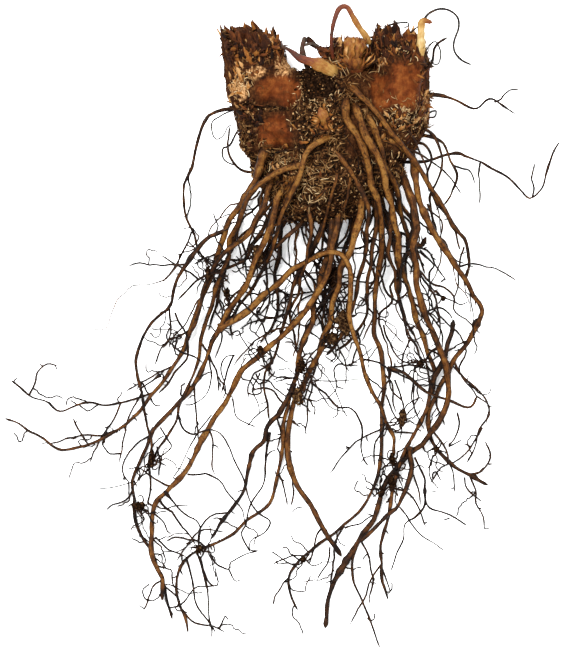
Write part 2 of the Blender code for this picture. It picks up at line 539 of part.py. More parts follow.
class Strand:
    """A root, branch, rootlet or shoot as a chain of points with a radius at each, in metres."""

    def __init__(self, node, points, radius, parent=None, place=0.0):
        self.node = node
        self.points = np.array(points, float)
        self.radius = np.array(radius, float)
        self.parent = parent
        self.place = place
        self.bed = self.radius + FLOOR_CLEARANCE

    def at(self, place):
        """The point at a place counted in points from the base, such as 2.5."""
        n = min(int(place), len(self.points) - 2)
        return self.points[n] + (place - n) * (self.points[n + 1] - self.points[n])

    def nearest_place(self, spot):
        """The place along the strand that is nearest to a spot seen from above."""
        start, step = self.points[:-1, :2], np.diff(self.points[:, :2], axis=0)
        share = np.clip(np.sum((spot[:2] - start) * step, axis=1) / np.sum(step ** 2, axis=1), 0, 1)
        away = np.linalg.norm(start + share[:, None] * step - spot[:2], axis=1)
        n = int(np.argmin(away))
        return n + share[n]


def smooth_route(route, step):
    """Points at even steps along a smooth curve through a route's points."""
    route = np.array(route, float)
    ends = np.vstack([2 * route[0] - route[1], route, 2 * route[-1] - route[-2]])
    fine = []
    for n in range(len(route) - 1):
        a, b, c, d = ends[n:n + 4]
        for t in np.arange(8) / 8:
            fine.append(0.5 * (2 * b + (c - a) * t + (2 * a - 5 * b + 4 * c - d) * t ** 2
                               + (3 * b - a - 3 * c + d) * t ** 3))
    fine = np.array(fine + [route[-1]])
    run = np.append(0, np.cumsum(np.linalg.norm(np.diff(fine, axis=0), axis=1)))
    marks = np.linspace(0, run[-1], max(3, int(round(run[-1] / step)) + 1))
    return np.column_stack([np.interp(marks, run, fine[:, k]) for k in range(fine.shape[1])])


def eased(share):
    share = np.clip(share, 0, 1)
    return share * share * (3 - 2 * share)


def root_strand(node, heights, radii, route, beds):
    """A main root: it rises from its base to where it leaves the crown and then droops to the surface."""
    plan = smooth_route(np.array(route) * MM, ROOT_STEP)
    run = np.append(0, np.cumsum(np.linalg.norm(np.diff(plan, axis=0), axis=1)))
    base, leaving, tip = np.array(heights) * MM
    droop = min(DROOP_LENGTH, run[-1] - EMERGE_LENGTH)
    height = base + (leaving - base) * eased(run / EMERGE_LENGTH)
    height += (tip - leaving) * eased((run - EMERGE_LENGTH) / droop)
    strand = Strand(node, np.column_stack([plan, height]), tapered(radii, run / run[-1]))
    if leaving >= FACE_HEIGHT:
        lie_on_face(strand, run, tip, beds)
    return strand


def lie_on_face(strand, run, tip, beds):
    """Brings a root out through the crown's face at its second point: from there it rests on the face, or
    hangs above it where it droops from the highest place that it has rested on."""
    face = []
    for n, (x, y) in enumerate(strand.points[1:, :2], 1):
        hits = [bed.ray_cast(Vector((x, y, 1.0)), Vector((0, 0, -1)))[0] for bed in beds]
        tops = [hit.z for hit in hits if hit]
        if tops:
            strand.bed[n] = max(tops) + BEDDING * strand.radius[n]
            face.append(n)
    crest = max(face, key=lambda n: strand.bed[n])
    top = strand.bed[crest] + BED_GAP
    droop = min(DROOP_LENGTH, run[-1] - run[crest])
    hanging = top + (tip - top) * eased((run - run[crest]) / droop)
    strand.points[1:, 2] = np.maximum(hanging, strand.bed + BED_GAP)[1:]


def tapered(radii, share):
    """Radii along a root or branch in metres, from those at its base and its tip in mm."""
    base, tip = radii
    return (tip + (base - tip) * (1 - share) ** TAPER) * MM


def branch_strand(parent, tip_height, radii, route, hump=0.0):
    """A branch: it leaves its parent's axis and droops to its tip's height, or humps up over others."""
    plan = smooth_route(np.array(route) * MM, ROOT_STEP)
    place = parent.nearest_place(plan[0])
    foot = parent.at(place)
    share = np.linspace(0, 1, len(plan))
    height = foot[2] + (tip_height * MM - foot[2]) * eased(share * 1.6)
    height += hump * MM * np.sin(np.pi * share) ** 2
    points = np.column_stack([plan, height])
    points[0] = foot
    return Strand(parent.node, points, tapered(radii, share), parent, place)


def nearest_on_pairs(a0, a1, b0, b1):
    """For pairs of segments, the shares along each at which they come nearest to each other."""
    u, v, w = a1 - a0, b1 - b0, a0 - b0
    uu, vv, uv = (u * u).sum(1), (v * v).sum(1), (u * v).sum(1)
    uw, vw = (u * w).sum(1), (v * w).sum(1)
    spread = uu * vv - uv * uv
    s = np.where(spread > 1e-18, (uv * vw - vv * uw) / np.maximum(spread, 1e-18), 0.5)
    s = np.clip(s, 0, 1)
    t = np.clip((uv * s + vw) / vv, 0, 1)
    s = np.clip((uv * t - uw) / uu, 0, 1)
    return s, t


class Tangle:
    """All strands together, for pushing apart those of different pieces that cross or lie side by side."""

    def __init__(self, strands, held):
        self.strands = strands
        sizes = [len(s.points) for s in strands]
        self.start = np.append(0, np.cumsum(sizes))
        self.points = np.vstack([s.points for s in strands])
        self.home = self.points.copy()
        self.radius = np.concatenate([s.radius for s in strands])
        self.bed = np.concatenate([s.bed for s in strands])
        self.owner = np.repeat(np.arange(len(strands)), sizes)
        nodes = np.array([name_number(s.node) for s in strands])
        inner = np.ones(len(self.points), bool)
        inner[self.start[1:] - 1] = False
        self.first = np.flatnonzero(inner)
        self.node = nodes[self.owner[self.first]]
        self.loose = np.array([s not in held for s in strands])[self.owner]

    def pairs(self):
        """Pairs of near segments of different pieces, with at least one that is free to move."""
        a, b = self.points[self.first], self.points[self.first + 1]
        middle = (a + b) / 2
        half = np.linalg.norm(b - a, axis=1) / 2 + self.radius[self.first] + SEARCH_MARGIN
        i, j = [], []
        for n in range(len(self.first) - 1):
            rest = slice(n + 1, None)
            near = np.linalg.norm(middle[rest] - middle[n], axis=1) < half[rest] + half[n]
            near &= self.node[rest] != self.node[n]
            near &= self.loose[self.first[rest]] | self.loose[self.first[n]]
            found = np.flatnonzero(near) + n + 1
            i.append(np.full(len(found), n))
            j.append(found)
        return self.first[np.concatenate(i)], self.first[np.concatenate(j)]

    def shortfall(self, i, j):
        """How far each pair is from its clearance, its two shares, and the way from second to first."""
        p = self.points
        s, t = nearest_on_pairs(p[i], p[i + 1], p[j], p[j + 1])
        away = p[i] + s[:, None] * (p[i + 1] - p[i]) - p[j] - t[:, None] * (p[j + 1] - p[j])
        gap = np.linalg.norm(away, axis=1)
        away[gap < 1e-7] = (0, 0, 1e-7)
        away /= np.maximum(gap, 1e-7)[:, None]
        need = self.radius[i] + s * (self.radius[i + 1] - self.radius[i])
        need = need + self.radius[j] + t * (self.radius[j + 1] - self.radius[j]) + CLEARANCE
        return need - gap, s, t, away

    def push(self, i, j, strength):
        """Moves the points of pairs that are too near apart, each piece by half."""
        short, s, t, away = self.shortfall(i, j)
        close = short > 0
        i, j, s, t, away = i[close], j[close], s[close], t[close], away[close]
        both = self.loose[i] & self.loose[j]
        step = away * (short[close] * np.where(both, 0.5, 1.0) * strength)[:, None]
        move = np.zeros_like(self.points)
        times = np.zeros(len(self.points))
        for ends, share, sign in ((i, 1 - s, 1), (i + 1, s, 1), (j, 1 - t, -1), (j + 1, t, -1)):
            weight = share / np.maximum(share ** 2 + (1 - share) ** 2, 0.5)
            np.add.at(move, ends, sign * step * weight[:, None])
            np.add.at(times, ends, share)
        move /= np.maximum(times, 1)[:, None]
        move[~self.loose] = 0
        self.points += move

    def crowded(self):
        """The strands that are left nearer to another piece than the gap that is kept."""
        i, j = self.pairs()
        near = self.shortfall(i, j)[0] > CLEARANCE - GAP_KEPT
        return {self.strands[n] for n in np.concatenate([self.owner[i[near]], self.owner[j[near]]])}

    def settle(self, rounds, stiffness):
        """Pushes and smooths by turns, and ends with pushes alone."""
        for turn in range(rounds):
            if turn % ROUNDS_BETWEEN_SEARCHES == 0:
                i, j = self.pairs()
            last = turn > rounds * LAST_ROUNDS
            self.push(i, j, LAST_PUSH if last else FIRST_PUSH)
            if not last:
                self.smooth(stiffness)
            stray = self.points[:, :2] - self.home[:, :2]
            reach = np.linalg.norm(stray, axis=1)
            over = reach > STRAY_LIMIT
            stray[over] *= (STRAY_LIMIT / reach[over])[:, None]
            self.points[over, :2] = self.home[over, :2] + stray[over]
            self.points[self.loose, 2] = np.maximum(self.points[:, 2], self.bed)[self.loose]
            self.share_out()
            for strand in self.strands:
                if strand.parent is not None:
                    strand.points[0] = strand.parent.at(strand.place)
            self.points = np.vstack([s.points for s in self.strands])

    def smooth(self, stiffness):
        """Evens out each point's push with those of its neighbours, and draws it back to its route."""
        moved = self.points - self.home
        bend = -moved * HOME_PULL
        for first, after in zip(self.start[:-1], self.start[1:]):
            own = moved[first:after]
            bend[first + 1:after - 1] += (own[:-2] + own[2:]) / 2 - own[1:-1]
        self.points[self.loose] += stiffness * bend[self.loose]

    def share_out(self):
        for n, strand in enumerate(self.strands):
            strand.points = self.points[self.start[n]:self.start[n + 1]].copy()


def name_number(name):
    """A number for a piece's name that is the same in each run."""
    return sum(ord(letter) * 31 ** k for k, letter in enumerate(name)) % 1000000007


def grow_rootlets(mains):
    """Rootlets at even steps along each root with a seeded scatter, where their first stretch is free."""
    draw = np.random.default_rng(ROOTLET_SEED)
    blocks = Tangle(mains, mains)
    a, b = blocks.points[blocks.first], blocks.points[blocks.first + 1]
    grown = []
    for strand in mains:
        run = np.append(0, np.cumsum(np.linalg.norm(np.diff(strand.points, axis=0), axis=1)))
        bare = 0.0 if strand.parent is not None else BARE_SHARE
        count = int(run[-1] * (1 - bare) * ROOTLET_COUNT_PER_METRE)
        side = 1 if draw.random() < 0.5 else -1
        for n in range(count):
            share = bare + (1 - bare) * (n + draw.uniform(0.2, 0.8)) / count
            place = float(np.interp(share * run[-1], run, np.arange(len(run))))
            length = draw.uniform(*ROOTLET_LENGTH)
            turns = draw.normal(0, 0.38, ROOTLET_STEPS)
            lean = draw.uniform(0.6, 1.25)
            side = -side
            foot = strand.at(place)
            ahead = strand.at(min(place + 0.5, len(run) - 1)) - strand.at(max(place - 0.5, 0))
            for way in (side, -side):
                course = math.atan2(ahead[1], ahead[0]) + way * lean
                points = [foot]
                for turn in turns:
                    course += turn
                    course -= 0.25 * math.sin(course + math.pi / 2)
                    step = length / ROOTLET_STEPS
                    ahead_step = np.array([math.cos(course), math.sin(course), 0]) * step
                    points.append(points[-1] + ahead_step)
                points = np.array(points)
                points[:, 2] = foot[2] + (0.8 * MM - foot[2]) * eased(np.linspace(0, 1.2, len(points)))
                if rootlet_is_free(points, strand.node, blocks, a, b):
                    radius = np.minimum(np.linspace(*ROOTLET_RADIUS, len(points)), strand.radius[-1])
                    grown.append(Strand(strand.node, points, radius, strand, place))
                    break
    return grown


def rootlet_is_free(points, node, blocks, a, b):
    """True where a rootlet keeps within the roots' spread and starts clear of the crown and other roots."""
    x, y = points[:, 0] / MM, points[:, 1] / MM
    under_crown = (y > -25) & (x > -33) & (x < 34)
    too_far = (x < SPREAD[0]) | (x > SPREAD[1]) | (y < SPREAD[2])
    if np.any(under_crown | too_far):
        return False
    other = blocks.node != name_number(node)
    count = int(other.sum())
    s, t = nearest_on_pairs(
        np.repeat(points[:1], count, 0), np.repeat(points[1:2], count, 0), a[other], b[other])
    here = points[0] + s[:, None] * (points[1] - points[0])
    there = a[other] + t[:, None] * (b[other] - a[other])
    apart = np.linalg.norm(here - there, axis=1)
    return bool(np.all(apart > blocks.radius[blocks.first][other] + ROOTLET_START_GAP))


def tube(name, strand, sides, grow=0.0):
    """A closed tube along a strand, with a flat base and a narrowed tip, grown by a margin."""
    points, radius = strand.points, strand.radius + grow
    if grow:
        first = points[0] - points[1]
        last = points[-1] - points[-2]
        points = points.copy()
        points[0] += first / np.linalg.norm(first) * grow * END_MARGIN
        points[-1] += last / np.linalg.norm(last) * grow * END_MARGIN
    ahead = np.gradient(points, axis=0)
    ahead /= np.linalg.norm(ahead, axis=1)[:, None]
    side = np.cross(ahead[0], (0, 0, 1.0))
    rings = []
    for centre, way, r in zip(points, ahead, radius):
        side = side - way * np.dot(side, way)
        side /= np.linalg.norm(side)
        up = np.cross(side, way)
        for k in range(sides):
            angle = 2 * math.pi * k / sides
            rings.append(centre + r * (math.cos(angle) * side + math.sin(angle) * up))
    rings[-sides:] = [points[-1] + (corner - points[-1]) * TIP_SHARE for corner in rings[-sides:]]
    made = new_object(name, rings, lofted_faces(len(points), sides))
    outwards(made)
    return made


def largest_part(obj):
    """Drops the loose scraps that a cut leaves, and keeps the largest part."""
    shape = bmesh.new()
    shape.from_mesh(obj.data)
    unseen = set(shape.faces)
    parts = []
    while unseen:
        front = [unseen.pop()]
        part = set(front)
        while front:
            face = front.pop()
            for edge in face.edges:
                for other in edge.link_faces:
                    if other in unseen:
                        unseen.discard(other)
                        part.add(other)
                        front.append(other)
        parts.append(part)
    parts.sort(key=lambda part: sum(face.calc_area() for face in part))
    scraps = [face for part in parts[:-1] for face in part]
    bmesh.ops.delete(shape, geom=scraps, context="FACES")
    shape.to_mesh(obj.data)
    shape.free()


def make_strands(beds):
    """Every root, branch, rootlet and shoot, pushed clear of each other."""
    shoots = []
    for name, (route, branches) in SHOOTS.items():
        stem = smooth_route(np.array(route) * MM, SHOOT_STEP)
        shoots.append(Strand(name, stem[:, :3], stem[:, 3]))
        for branch in branches:
            twig = smooth_route(np.array(branch) * MM, SHOOT_STEP)
            shoots.append(Strand(name, twig[:, :3], twig[:, 3]))
    mains = []
    for n, (heights, radii, route, branches) in enumerate(ROOTS):
        main = root_strand(f"root_{n + 1:02d}", heights, radii, route, beds)
        mains.append(main)
        mains += [branch_strand(main, *branch) for branch in branches]
    Tangle(shoots + mains, shoots).settle(MAIN_ROUNDS, MAIN_STIFFNESS)
    rootlets = grow_rootlets(mains)
    tangle = Tangle(shoots + mains + rootlets, shoots + mains)
    tangle.settle(ROOTLET_ROUNDS, ROOTLET_STIFFNESS)
    crowded = tangle.crowded()
    return shoots, mains, [strand for strand in rootlets if strand not in crowded]


def build():
    """Makes every piece of the plant, each as one named object."""
    for old in list(bpy.data.objects):
        bpy.data.objects.remove(old)
    skins = {
        "bark": material("bark", BARK["base"], BARK["roughness"]),
        "root": material("root_skin", ROOT_SKIN["base"], ROOT_SKIN["roughness"]),
        "shoot": material("shoot_skin", SHOOT_SKIN["base"], SHOOT_SKIN["roughness"]),
        "peat": material("peat", PEAT_SKIN["base"], PEAT_SKIN["roughness"]),
    }
    crown, beds = make_crown()
    shoots, mains, rootlets = make_strands(beds)
    clods = [peat_clod(name, centre, half) for name, (centre, half) in PEAT.items()]
    for name, (centre, half) in PEAT.items():
        cut(crown, peat_clod("socket", centre, half, SOCKET_CLEARANCE))
    for strand in shoots + mains:
        if in_crown(strand):
            sides = ROOT_SIDES if strand in mains else SHOOT_SIDES
            for solid in [crown] + clods:
                cut(solid, tube("socket", strand, sides, SOCKET_CLEARANCE))
    for solid in [crown] + clods:
        largest_part(solid)
    dress(crown, skins["bark"])
    for clod in clods:
        dress(clod, skins["peat"])

    for name in dict.fromkeys(s.node for s in shoots):
        stems = [tube(name, s, SHOOT_SIDES) for s in shoots if s.node == name]
        dress(joined(stems[0], stems[1:]), skins["shoot"])
    for name in dict.fromkeys(s.node for s in mains):
        thick = [tube(name, s, BRANCH_SIDES if s.parent else ROOT_SIDES) for s in mains if s.node == name]
        thin = [tube("rootlet", s, ROOTLET_SIDES) for s in rootlets if s.node == name]
        dress(joined(thick[0], thick[1:] + thin), skins["root"])


def in_crown(strand):
    """True where any part of a strand runs in or close over the crown."""
    x, y, z = strand.points.T / MM
    return bool(np.any((y > -24) & (y < 45) & (x > -34) & (x < 34)))


def dress(obj, skin):
    """Gives a piece its only material and smooth shading with sharp edges where it is angular."""
    obj.data.materials.clear()
    obj.data.materials.append(skin)
    obj.data.shade_smooth()
    obj.data.set_sharp_from_angle(angle=math.radians(50))


build()
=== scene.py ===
"""Looks of a bare-root astilbe: a woody crown of three knobs, its buds and shoots, and a fan of brown roots.

The plant lies on its back on the floor: +Y runs from the root tips to the shoots, +X to the right and +Z up.
Everything built is in metres; the tables of routes are in millimetres and are turned into metres as they are
read. The crown and the roots repeat the solids' own tables, so that each piece covers its solid.
"""

import functools
import json
import math

import bpy
import numpy as np
from bpy.props import FloatProperty, FloatVectorProperty, IntProperty, PointerProperty
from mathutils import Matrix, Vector
from mathutils.bvhtree import BVHTree

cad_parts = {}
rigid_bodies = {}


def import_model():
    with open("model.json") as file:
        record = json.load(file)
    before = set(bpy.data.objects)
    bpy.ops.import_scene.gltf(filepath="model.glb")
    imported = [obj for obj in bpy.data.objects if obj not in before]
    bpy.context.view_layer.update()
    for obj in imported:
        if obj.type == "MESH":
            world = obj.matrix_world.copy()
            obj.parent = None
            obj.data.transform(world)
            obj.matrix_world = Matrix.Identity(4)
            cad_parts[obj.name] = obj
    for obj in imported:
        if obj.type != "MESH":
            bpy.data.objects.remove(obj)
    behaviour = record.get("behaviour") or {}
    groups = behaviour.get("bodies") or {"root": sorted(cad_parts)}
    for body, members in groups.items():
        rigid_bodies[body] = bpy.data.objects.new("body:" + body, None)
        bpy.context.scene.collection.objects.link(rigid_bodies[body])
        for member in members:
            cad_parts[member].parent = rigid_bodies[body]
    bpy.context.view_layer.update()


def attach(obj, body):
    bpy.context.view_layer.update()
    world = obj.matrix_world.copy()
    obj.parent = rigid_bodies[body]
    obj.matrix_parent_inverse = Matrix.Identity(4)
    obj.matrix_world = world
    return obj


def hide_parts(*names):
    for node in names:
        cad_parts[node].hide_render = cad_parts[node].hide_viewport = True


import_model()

bl_info = {
    "name": "Bare-root astilbe",
    "version": (1, 0, 0),
    "blender": (4, 5, 0),
    "location": "3D View > Sidebar > Astilbe",
    "description": "Builds a bare-root astilbe with its crown, roots, buds, shoots and soil",
    "category": "Add Mesh",
}

MM = 0.001

# Sizes shared with the solids
REST_HEIGHT = 11.3 * MM          # height of the crown's middle above the floor
BODY_SIDES = 22
KNOB_SIDES = 16
CRATER_DEPTH = 3.5 * MM          # how deep each old stem base has rotted out
CRATER_RIM = 0.72                # width of the crater as a share of the knob
RIDGE_HEIGHT = 0.115             # relief of the bark as a share of the radius
CLEARANCE = 0.35 * MM            # free space kept between two separate pieces
ROOTLET_COUNT_PER_METRE = 48
ROOTLET_RADIUS = (0.46 * MM, 0.36 * MM)
ROOTLET_LENGTH = (9 * MM, 24 * MM)
ROOTLET_STEPS = 4
ROOTLET_SEED = 7
ROOTLET_START_GAP = 1.0 * MM     # free space beside a rootlet's first stretch
SPREAD = (-95, 69, -147)         # furthest left, right and down that rootlets reach, in mm
BARE_SHARE = 0.22                # the part of each root next to the crown that has no rootlets
ROOT_STEP = 5.0 * MM             # distance between the points of a root's course
SHOOT_STEP = 3.5 * MM
EMERGE_LENGTH = 14 * MM          # run of a root inside the crown
FACE_HEIGHT = 24 * MM            # a root that leaves the crown this high comes out through its face
BEDDING = 0.55                   # height of a root's middle above the face that it lies on, in radii
BED_GAP = 0.2 * MM
HOME_PULL = (0.06, 0.06, 0.05)   # how strongly a pushed root comes back to its route
DROOP_LENGTH = 75 * MM           # run over which a root comes down to the floor
STRAY_LIMIT = 2.2 * MM           # how far a root may be pushed off its route, seen from above
FLOOR_CLEARANCE = 0.1 * MM
LOWEST = 0.02 * MM               # no point of a piece lies lower than this
TAPER = 1.4                      # how much sooner a root thins than evenly along its run
SHRED_SEED = 3
SHRED_ROOT = 3.2                 # depth in mm that a leaf base stands in the knob
SHRED_WIDTH = (2.2 * MM, 3.8 * MM)
RIM_BLEND = 11.0 * MM            # run below the rim over which its slant comes in

# How the roots are pushed clear of each other: rounds, stiffness against bending, share of each
# overlap taken away in a round at first and at last, and where the last rounds start
MAIN_ROUNDS = 240
ROOTLET_ROUNDS = 160
MAIN_STIFFNESS = 0.35
ROOTLET_STIFFNESS = 0.3
FIRST_PUSH = 0.6
LAST_PUSH = 0.9
LAST_ROUNDS = 0.75
ROUNDS_BETWEEN_SEARCHES = 8
SEARCH_MARGIN = 2 * MM
GAP_KEPT = 0.3 * MM              # a rootlet that stays nearer than this to another piece is left out

# Grain is drawn on coordinates that run this much more slowly along a root or blade than across it
GRAIN_STRETCH = 0.16

# Where the crown's front has smooth orange bark, pale bark and deep soil: middle and half sizes in mm
GLOW_SPOTS = [((-12.9, 17.4), (6.6, 4.4)), ((-15.2, 5.2), (4.6, 5.2)), ((24.0, 19.0), (6.8, 8.4)),
              ((16.5, 17.5), (3.4, 6.0))]
PALE_SPOTS = [((-12.6, 25.4), (3.0, 3.4)), ((-25.4, 17.6), (2.2, 3.0)), ((-20.6, 23.0), (3.2, 2.0)),
              ((17.0, 26.2), (1.6, 1.4)), ((30.4, 12.0), (1.2, 5.0)), ((12.0, 27.5), (2.0, 2.5))]
SOIL_SPOTS = [((-24.0, 32.0), (5.0, 4.0)), ((-14.5, 12.0), (6.5, 0.9)), ((-23.2, 7.0), (3.4, 7.0)),
              ((-20.5, 28.0), (4.5, 3.0)), ((19.0, 32.5), (5.5, 3.6)), ((24.0, 9.0), (8.0, 4.0)),
              ((-24.5, 20.5), (2.4, 2.4)), ((24.0, 29.0), (3.5, 2.0))]

# Where straw lies on the crown's front: middle, half sizes, number, lengths and tone
STRAW_SPOTS = [
    ((-2.8, -9.3), (4.6, 5.0), 150, (1.0, 3.2), 0.62),
    ((23.0, 9.5), (7.0, 5.0), 240, (0.5, 1.6), 0.70),
    ((-13.5, -2.5), (5.5, 2.6), 110, (1.0, 3.4), 0.60),
    ((-24.6, 21.0), (1.8, 2.2), 70, (0.6, 1.6), 0.78),
    ((8.0, 25.0), (4.6, 2.2), 90, (2.4, 6.0), 0.52),
    ((-2.0, 17.0), (5.5, 6.0), 240, (0.5, 1.6), 0.72),
    ((-24.0, 2.0), (4.0, 7.0), 120, (0.8, 2.6), 0.50),
    ((20.0, -8.0), (7.0, 6.0), 130, (1.0, 3.0), 0.50),
    ((-14.0, -14.0), (7.0, 4.0), 110, (1.4, 3.6), 0.52),
    ((25.5, 30.0), (2.2, 2.0), 50, (0.6, 1.6), 0.85),
]

# Middle and spread of the tones of the torn leaf bases: 0 is dark brown, 1 is straw
LEAF_TONES = {"left": (0.38, 0.24), "middle": (0.40, 0.20), "right": (0.36, 0.20)}

# Where torn flakes of leaf base cling to the flanks: middle, half sizes, number, and middle and spread of tone
FLAKE_SPOTS = [
    ((-27.5, 31.0), (2.6, 3.4), 60, (0.14, 0.16)), ((-19.0, 32.0), (4.0, 3.4), 80, (0.40, 0.24)),
    ((-15.0, 30.0), (4.0, 2.4), 70, (0.42, 0.20)), ((-21.5, 26.5), (4.5, 3.6), 70, (0.20, 0.22)),
    ((-26.0, 18.5), (2.2, 5.0), 60, (0.84, 0.18)), ((-22.0, 9.0), (4.0, 6.0), 60, (0.26, 0.22)),
    ((18.0, 32.0), (4.0, 4.0), 80, (0.26, 0.22)), ((25.5, 31.0), (4.0, 4.0), 60, (0.38, 0.24)),
    ((20.0, 26.5), (5.0, 2.2), 50, (0.36, 0.26)), ((6.5, 29.0), (5.0, 4.0), 60, (0.40, 0.24)),
    ((29.5, 14.0), (2.0, 8.0), 60, (0.56, 0.26)), ((-1.0, 6.5), (3.0, 2.4), 36, (0.50, 0.20)),
    ((23.0, 8.0), (6.0, 5.0), 80, (0.50, 0.26)), ((-14.0, -6.0), (7.0, 5.0), 80, (0.54, 0.24)),
]

# Loose scraps of leaf base: foot, tip, the way that the flat side faces, width and tone
LOOSE_SCRAPS = [
    ((-28.6, 30.6, 13), (-31.2, 27.6, 12), (-0.8, 0.2, 0.5), 1.2, 0.20),
    ((-28.4, 29.6, 14), (-31.6, 33.4, 14), (-0.7, 0.5, 0.5), 1.3, 0.15),
    ((-28.8, 27.6, 13), (-30.4, 21.6, 12), (-0.7, 0.0, 0.7), 1.1, 0.45),
    ((-5.6, 33.4, 16), (0.8, 27.2, 18), (-0.3, 0.2, 0.9), 2.2, 0.24),
    ((-3.0, 30.6, 17), (2.0, 29.5, 18), (0.0, 0.5, 0.9), 2.4, 0.32),
    ((-27.8, 22.6, 13), (-27.0, 16.6, 14), (-0.7, 0.0, 0.7), 1.6, 0.80),
    ((-28.6, 25.6, 13), (-28.2, 20.8, 13), (-0.8, 0.0, 0.6), 1.4, 0.72),
]

# Tones of each shoot from its foot to its tip, after how much wider than round it is; the second list is for
# its side shoots. 0 is dark string, 0.2 red-brown, 0.4 red, 0.55 gold, 0.75 pale yellow and 1 cream
SHOOT_TONES = {
    "shoot_folded": (1.05, (0.50, 0.36, 0.24, 0.24, 0.26, 0.30, 0.40, 0.56, 0.66, 0.62)),
    "shoot_pale": (1.05, (0.50, 0.66, 0.80, 0.86, 0.84, 0.62, 0.36), (0.08, 0.02, 0.02)),
    "bud_red_tip": (1.06, (0.50, 0.60, 0.70, 0.58, 0.38, 0.27, 0.20, 0.10)),
    "bud_sheath": (1.04, (0.30, 0.46, 0.52, 0.54, 0.42)),
    "bud_front": (1.05, (0.36, 0.50, 0.54, 0.44)),
    "stalk_stub": (1.02, (0.13, 0.14, 0.14, 0.12), (0.08, 0.05, 0.05)),
}

# How strongly each shoot is wrinkled, and the share of its solid's radius that it has
CRINKLES = {"bud_sheath": (0.30, 0.84), "bud_front": (0.34, 0.84), "bud_red_tip": (0.15, 0.84),
            "shoot_folded": (0.14, 1.0), "shoot_pale": (0.08, 0.96), "stalk_stub": (0.18, 1.0)}

# Scales that wrap the buds: foot, axis, radius, number, length and width in mm, and tone
SCALES = [
    ((8.2, 24.2, 17.4), (0.05, 1, 0.12), 3.6, 12, 5.6, 1.5, 0.56),
    ((8.6, 27.6, 18.2), (0.08, 1, 0.05), 3.9, 14, 5.0, 1.2, 0.64),
    ((9.0, 30.8, 18.4), (0.10, 1, 0.0), 3.0, 12, 3.4, 1.0, 0.60),
    ((6.4, 25.0, 19.6), (-0.7, 0.6, 0.2), 1.8, 8, 4.6, 0.7, 0.74),
    ((11.4, 26.0, 18.6), (0.7, 0.8, 0.1), 1.6, 6, 4.4, 0.7, 0.72),
    ((0.2, 6.6, 22.6), (-0.15, 0.75, 0.6), 1.9, 9, 3.6, 1.3, 0.60),
    ((0.0, 9.0, 24.2), (0.6, 0.4, 0.2), 1.4, 7, 3.0, 1.1, 0.50),
    ((-1.6, 8.4, 23.6), (-0.8, 0.3, 0.1), 1.2, 8, 3.0, 1.0, 0.66),
    ((2.4, 23.2, 20.0), (-0.85, 0.4, 0.25), 1.7, 6, 5.0, 1.4, 0.60),
]

# Colours that are mixed into the bark and the roots
DARK_BARK = (0.00444, 0.00185, 0.00089)
MID_BARK = (0.0266, 0.00925, 0.00296)
LIGHT_BARK = (0.0888, 0.0385, 0.0126)
RED_BARK = (0.0237, 0.00444, 0.00089)
AMBER_BARK = (0.111, 0.0326, 0.00703)
BLACK_ROOT = (0.00222, 0.00111, 0.00074)

# The stage: the point that the camera and the lights face, the camera's height, the level at which the
# picture has its true scale, and the height of the picture there
AIM = (-0.0129, -0.0528, 0.0)
CAMERA_HEIGHT = 2.5
EYE_LEVEL = 0.010
FRAME_HEIGHT = 0.1956
LIGHTS = [
    ("key", (-0.38, 0.40, 1.30), 52.0, 0.45),
    ("fill", (0.70, -0.35, 0.90), 10.0, 0.90),
]

# The crown's body: y, middle x, half width, half thickness
BODY_SECTIONS = [
    (-21.5, -3.5, 7.0, 3.5),
    (-18.5, -2.5, 13.0, 6.6),
    (-14.5, -1.0, 17.5, 9.2),
    (-9.5, 0.5, 20.5, 11.6),
    (-4.0, 1.0, 22.8, 12.5),
    (2.0, 1.5, 24.5, 12.6),
    (8.0, 1.5, 26.2, 12.3),
    (14.0, 1.0, 26.8, 11.3),
    (19.5, 1.0, 26.0, 9.4),
    (23.5, 1.0, 22.0, 6.5),
]

# The three knobs, each an old stem base: x, y, z of the middle and its radius, from the body to the rim
KNOBS = {
    "left": [
        (-14.0, 0.0, 11.0, 8.5),
        (-15.5, 6.0, 11.5, 10.2),
        (-17.0, 12.0, 12.0, 10.8),
        (-18.0, 18.0, 12.5, 10.6),
        (-19.5, 24.0, 12.5, 10.0),
        (-21.0, 29.5, 12.5, 9.6),
        (-22.2, 33.5, 12.5, 8.6),
    ],
    "middle": [
        (3.0, 8.0, 11.0, 8.0),
        (3.5, 14.0, 11.5, 9.0),
        (4.5, 20.0, 11.5, 8.6),
        (6.0, 25.5, 11.0, 7.4),
        (7.2, 30.5, 11.0, 6.4),
    ],
    "right": [
        (19.0, -1.0, 11.0, 7.5),
        (20.5, 6.0, 11.5, 9.0),
        (21.3, 13.0, 12.0, 9.6),
        (21.8, 20.0, 12.0, 9.3),
        (22.3, 27.0, 12.0, 8.8),
        (22.3, 33.0, 12.0, 7.4),
    ],
}

# How far each rim stands back, in mm for each mm towards the left and towards the front
RIM_SLANT = {"left": (0.52, -0.30), "middle": (0.10, -0.15), "right": (0.22, -0.28)}

# The torn leaf bases round each rim: number, length and the lean away from the knob's axis
SHREDS = {"left": (19, 5.6, 0.30), "middle": (12, 3.6, 0.35), "right": (15, 4.8, 0.22)}

# Clods of peat held in the crown: middle, half sizes
PEAT = {
    "peat_dark": ((-2.2, 18.2, 18.2), (6.2, 6.4, 5.4)),
    "peat_fibrous": ((-3.2, -9.8, 18.4), (6.2, 6.8, 4.6)),
}

